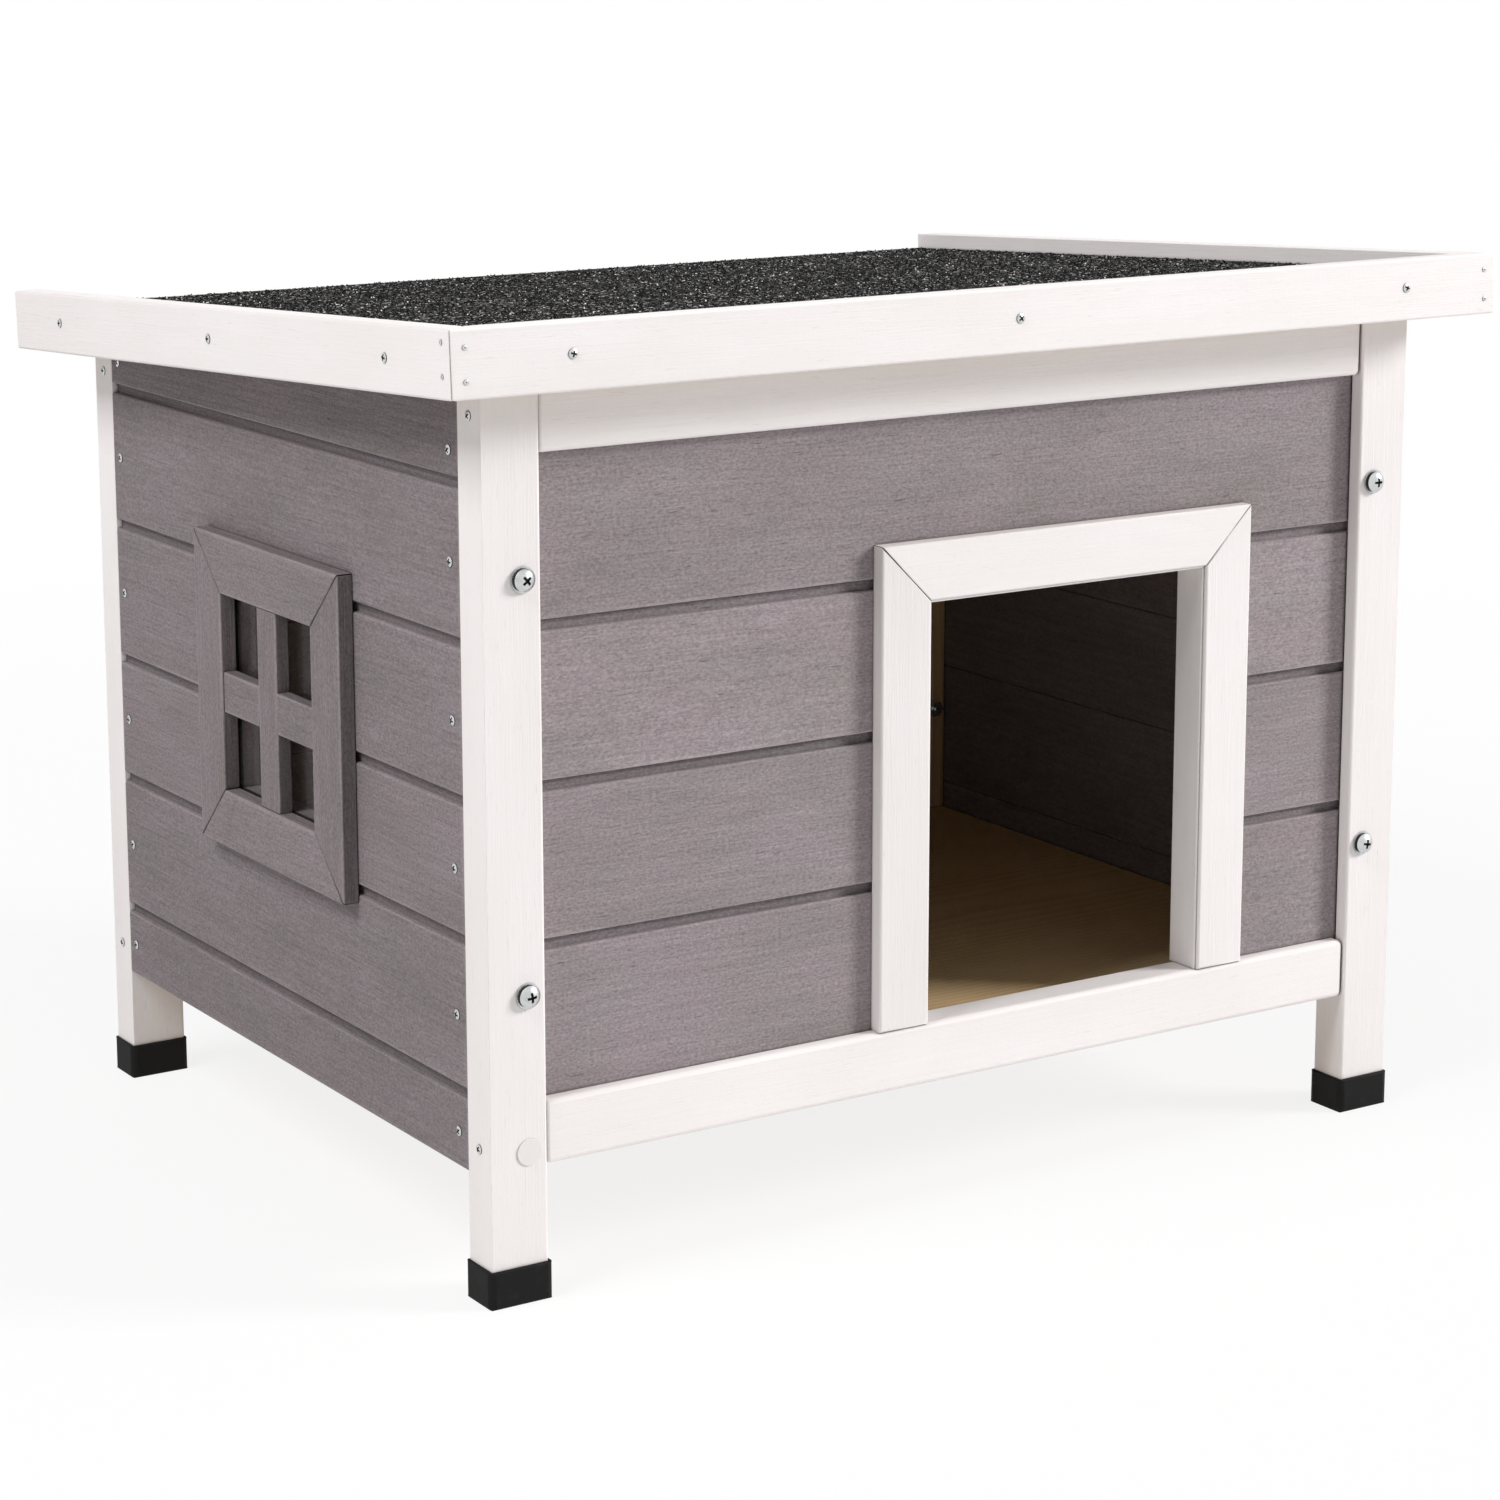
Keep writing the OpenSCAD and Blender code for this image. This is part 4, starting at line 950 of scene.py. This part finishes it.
def moulded_plastic(name, code, rough, texture_mm, relief):
    """Injection-moulded plastic with the fine spark-eroded texture of its mould."""
    material, tree, shader = new_material(name)
    where = add(tree, "ShaderNodeTexCoord").outputs["Object"]
    skin = add(tree, "ShaderNodeTexNoise", {"Vector": where, "Scale": 1 / (texture_mm * MM), "Detail": 2.0})
    scuffs = add(tree, "ShaderNodeTexNoise",
                 {"Vector": where, "Scale": 90.0, "Detail": 4.0, "Roughness": 0.7})
    dust = add(tree, "ShaderNodeMapRange",
               {"Value": scuffs, "From Min": 0.55, "From Max": 0.8, "To Max": SCUFF})
    colour = add(tree, "ShaderNodeMix", {0: dust, 6: paint(code), 7: paint("#8C8784")}, data_type="RGBA")
    roughness = add(tree, "ShaderNodeMapRange",
                    {"Value": scuffs, "To Min": rough - 0.1, "To Max": rough + 0.14})
    bump = add(tree, "ShaderNodeBump", {"Height": skin, "Strength": relief, "Distance": MOULD_RELIEF})
    fill(tree, shader, {"Base Color": colour.outputs[2], "Roughness": roughness, "Normal": bump,
                        "Specular IOR Level": PLASTIC_GLOSS})
    return material


def acrylic_material():
    """Clear acrylic sheet: smooth, with a faint haze of wiping marks."""
    material, tree, shader = new_material("clear_acrylic_sheet")
    where = add(tree, "ShaderNodeTexCoord").outputs["Object"]
    haze = add(tree, "ShaderNodeTexNoise", {"Vector": where, "Scale": 45.0, "Detail": 3.0})
    rough = add(tree, "ShaderNodeMapRange",
                {"Value": haze, "From Min": 0.4, "From Max": 0.8, "To Min": 0.01, "To Max": 0.08})
    fill(tree, shader, {"Roughness": rough, "Transmission Weight": 1.0, "IOR": 1.49, "Alpha": PANE_ALPHA})
    return material


black_polypropylene = moulded_plastic("moulded_black_polypropylene", "#1C1B1B", 0.62, 0.5, 0.25)
white_polyethylene = moulded_plastic("moulded_white_polyethylene", "#EAE4E3", 0.45, 0.7, 0.12)
clear_acrylic = acrylic_material()

SMALL_PARTS = [  # (solids, slot, material, edge radius in mm, shortest edge in mm)
    ("foot_caps", "black_plastic", black_polypropylene, 3.0, 10),
    ("leg_plug", "white_plastic", white_polyethylene, 0.12, 0.1),
    ("hinge_wall_leaves hinge_roof_leaves", "zinc_steel", zinc_steel, 0.12, 3),
    ("hinge_pins bolt_washers", "zinc_steel", zinc_steel, 0.1, 3),
    ("bolt_nuts", "zinc_steel", zinc_steel, 0.2, 1.5),
]
for names, slot, material, radius, shortest in SMALL_PARTS:
    for node in names.split():
        piece = rounded(node, radius, 2, shortest, ".part")
        dress(piece, material)
        stand_for(piece, node)
dress(nodes["window_pane"], clear_acrylic)
print("small parts:", [row[0] for row in SMALL_PARTS])

# %% [markdown]
# The photograph was taken from the front left at about two metres, with a long lens and the camera a
# little above the roof. The place below was worked out from corners that show in the picture. The
# upright lines hardly lean: the camera tilts less than it would to centre the house, and the lens is
# shifted down instead.

# %% Camera
place = Vector((-0.98689, -1.53718, 0.60576))
turned, tilted, rolled = 0.57357, 0.19085, -0.00086  # radians: to the right of +Y, down, and about the view
view_line = Vector((math.sin(turned) * math.cos(tilted), math.cos(turned) * math.cos(tilted),
                    -math.sin(tilted)))
level = view_line.cross(Z).normalized()
upright = level.cross(view_line)
right = math.cos(rolled) * level + math.sin(rolled) * upright
up = math.cos(rolled) * upright - math.sin(rolled) * level
camera = new_object("camera", bpy.data.cameras.new("camera"))
camera.matrix_world = Matrix.Translation(place) @ Matrix((right, up, -view_line)).transposed().to_4x4()
camera.data.sensor_width = 36
camera.data.lens = 89.2956
camera.data.shift_y = -0.1
camera.data.clip_start, camera.data.clip_end = 0.05, 200
bpy.context.scene.camera = camera
print("camera lens", camera.data.lens, "mm")

# %% [markdown]
# Product pictures are lit by large soft boxes. One lamp stands far out in front on the right, high up,
# and gives the soft shadows beside the legs and trims. A weaker one hangs high on the left and fills
# the left wall. A pale world does the rest. The white behind the object is only for rays that come
# from the camera, a shiny surface or a clear one, so it adds no light.

# %% Studio light and floor
PURE_WHITE = (1, 1, 1, 1)
AIM = Vector((0, 0, 0.22))  # metres; the middle of the house, which both lamps face
FLOOR = 60  # metres from the middle of the floor to its sides
FADE_FROM, FADE_TO = 0.3, 1.6  # metres; over this way out the floor turns to pure white


def seen_directly(tree):
    """1 for rays from the camera, mirrors and clear parts, and 0 for the light that shapes the object."""
    path = add(tree, "ShaderNodeLightPath").outputs
    first = add(tree, "ShaderNodeMath", {0: path["Is Camera Ray"], 1: path["Is Glossy Ray"]},
                operation="MAXIMUM")
    return add(tree, "ShaderNodeMath", {0: first, 1: path["Is Transmission Ray"]}, operation="MAXIMUM")


def soft_box(name, place, width, watts):
    """A square area lamp that faces the object."""
    lamp = new_object(name, bpy.data.lights.new(name, "AREA"))
    lamp.data.size = width
    lamp.data.energy = watts
    lamp.location = place
    lamp.rotation_mode = "QUATERNION"
    lamp.rotation_quaternion = (Vector(place) - AIM).to_track_quat("Z", "Y")


soft_box("soft_box_right", (4.2, -2.85, 2.6), 1.5, 275)
soft_box("soft_box_left", (-2.3, -0.35, 2.8), 1.4, 81)
world = bpy.data.worlds.new("studio")
bpy.context.scene.world = world
tree = empty_tree(world)
glow = add(tree, "ShaderNodeBackground", {"Color": PURE_WHITE, "Strength": 0.2})
white = add(tree, "ShaderNodeBackground", {"Color": PURE_WHITE, "Strength": 1.0})
sky = add(tree, "ShaderNodeMixShader", {0: seen_directly(tree), 1: glow, 2: white})
add(tree, "ShaderNodeOutputWorld", {"Surface": sky})

floor_mesh = bpy.data.meshes.new("floor")
floor_mesh.from_pydata([(x * FLOOR, y * FLOOR, 0) for x, y in ((-1, -1), (1, -1), (1, 1), (-1, 1))], [],
                       [(0, 1, 2, 3)])
floor = new_object("floor", floor_mesh)
material = bpy.data.materials.new("pale_floor")
tree = empty_tree(material)
where = add(tree, "ShaderNodeTexCoord").outputs["Object"]
away = add(tree, "ShaderNodeVectorMath", {0: where}, operation="LENGTH").outputs["Value"]
fade = add(tree, "ShaderNodeMapRange",
           {"Value": away, "From Min": FADE_FROM, "From Max": FADE_TO, "To Min": 0.84, "To Max": 1.0})
amount = add(tree, "ShaderNodeMath", {0: fade, 1: seen_directly(tree)}, operation="MULTIPLY")
matt = add(tree, "ShaderNodeBsdfDiffuse", {"Color": paint("#F0F0F0")})
bright = add(tree, "ShaderNodeEmission", {"Color": PURE_WHITE, "Strength": 1.0})
surface = add(tree, "ShaderNodeMixShader", {0: amount, 1: matt, 2: bright})
add(tree, "ShaderNodeOutputMaterial", {"Surface": surface})
dress(floor, material)
bpy.context.scene.view_settings.view_transform = "Standard"
print("studio: two soft boxes, pale world, white floor")
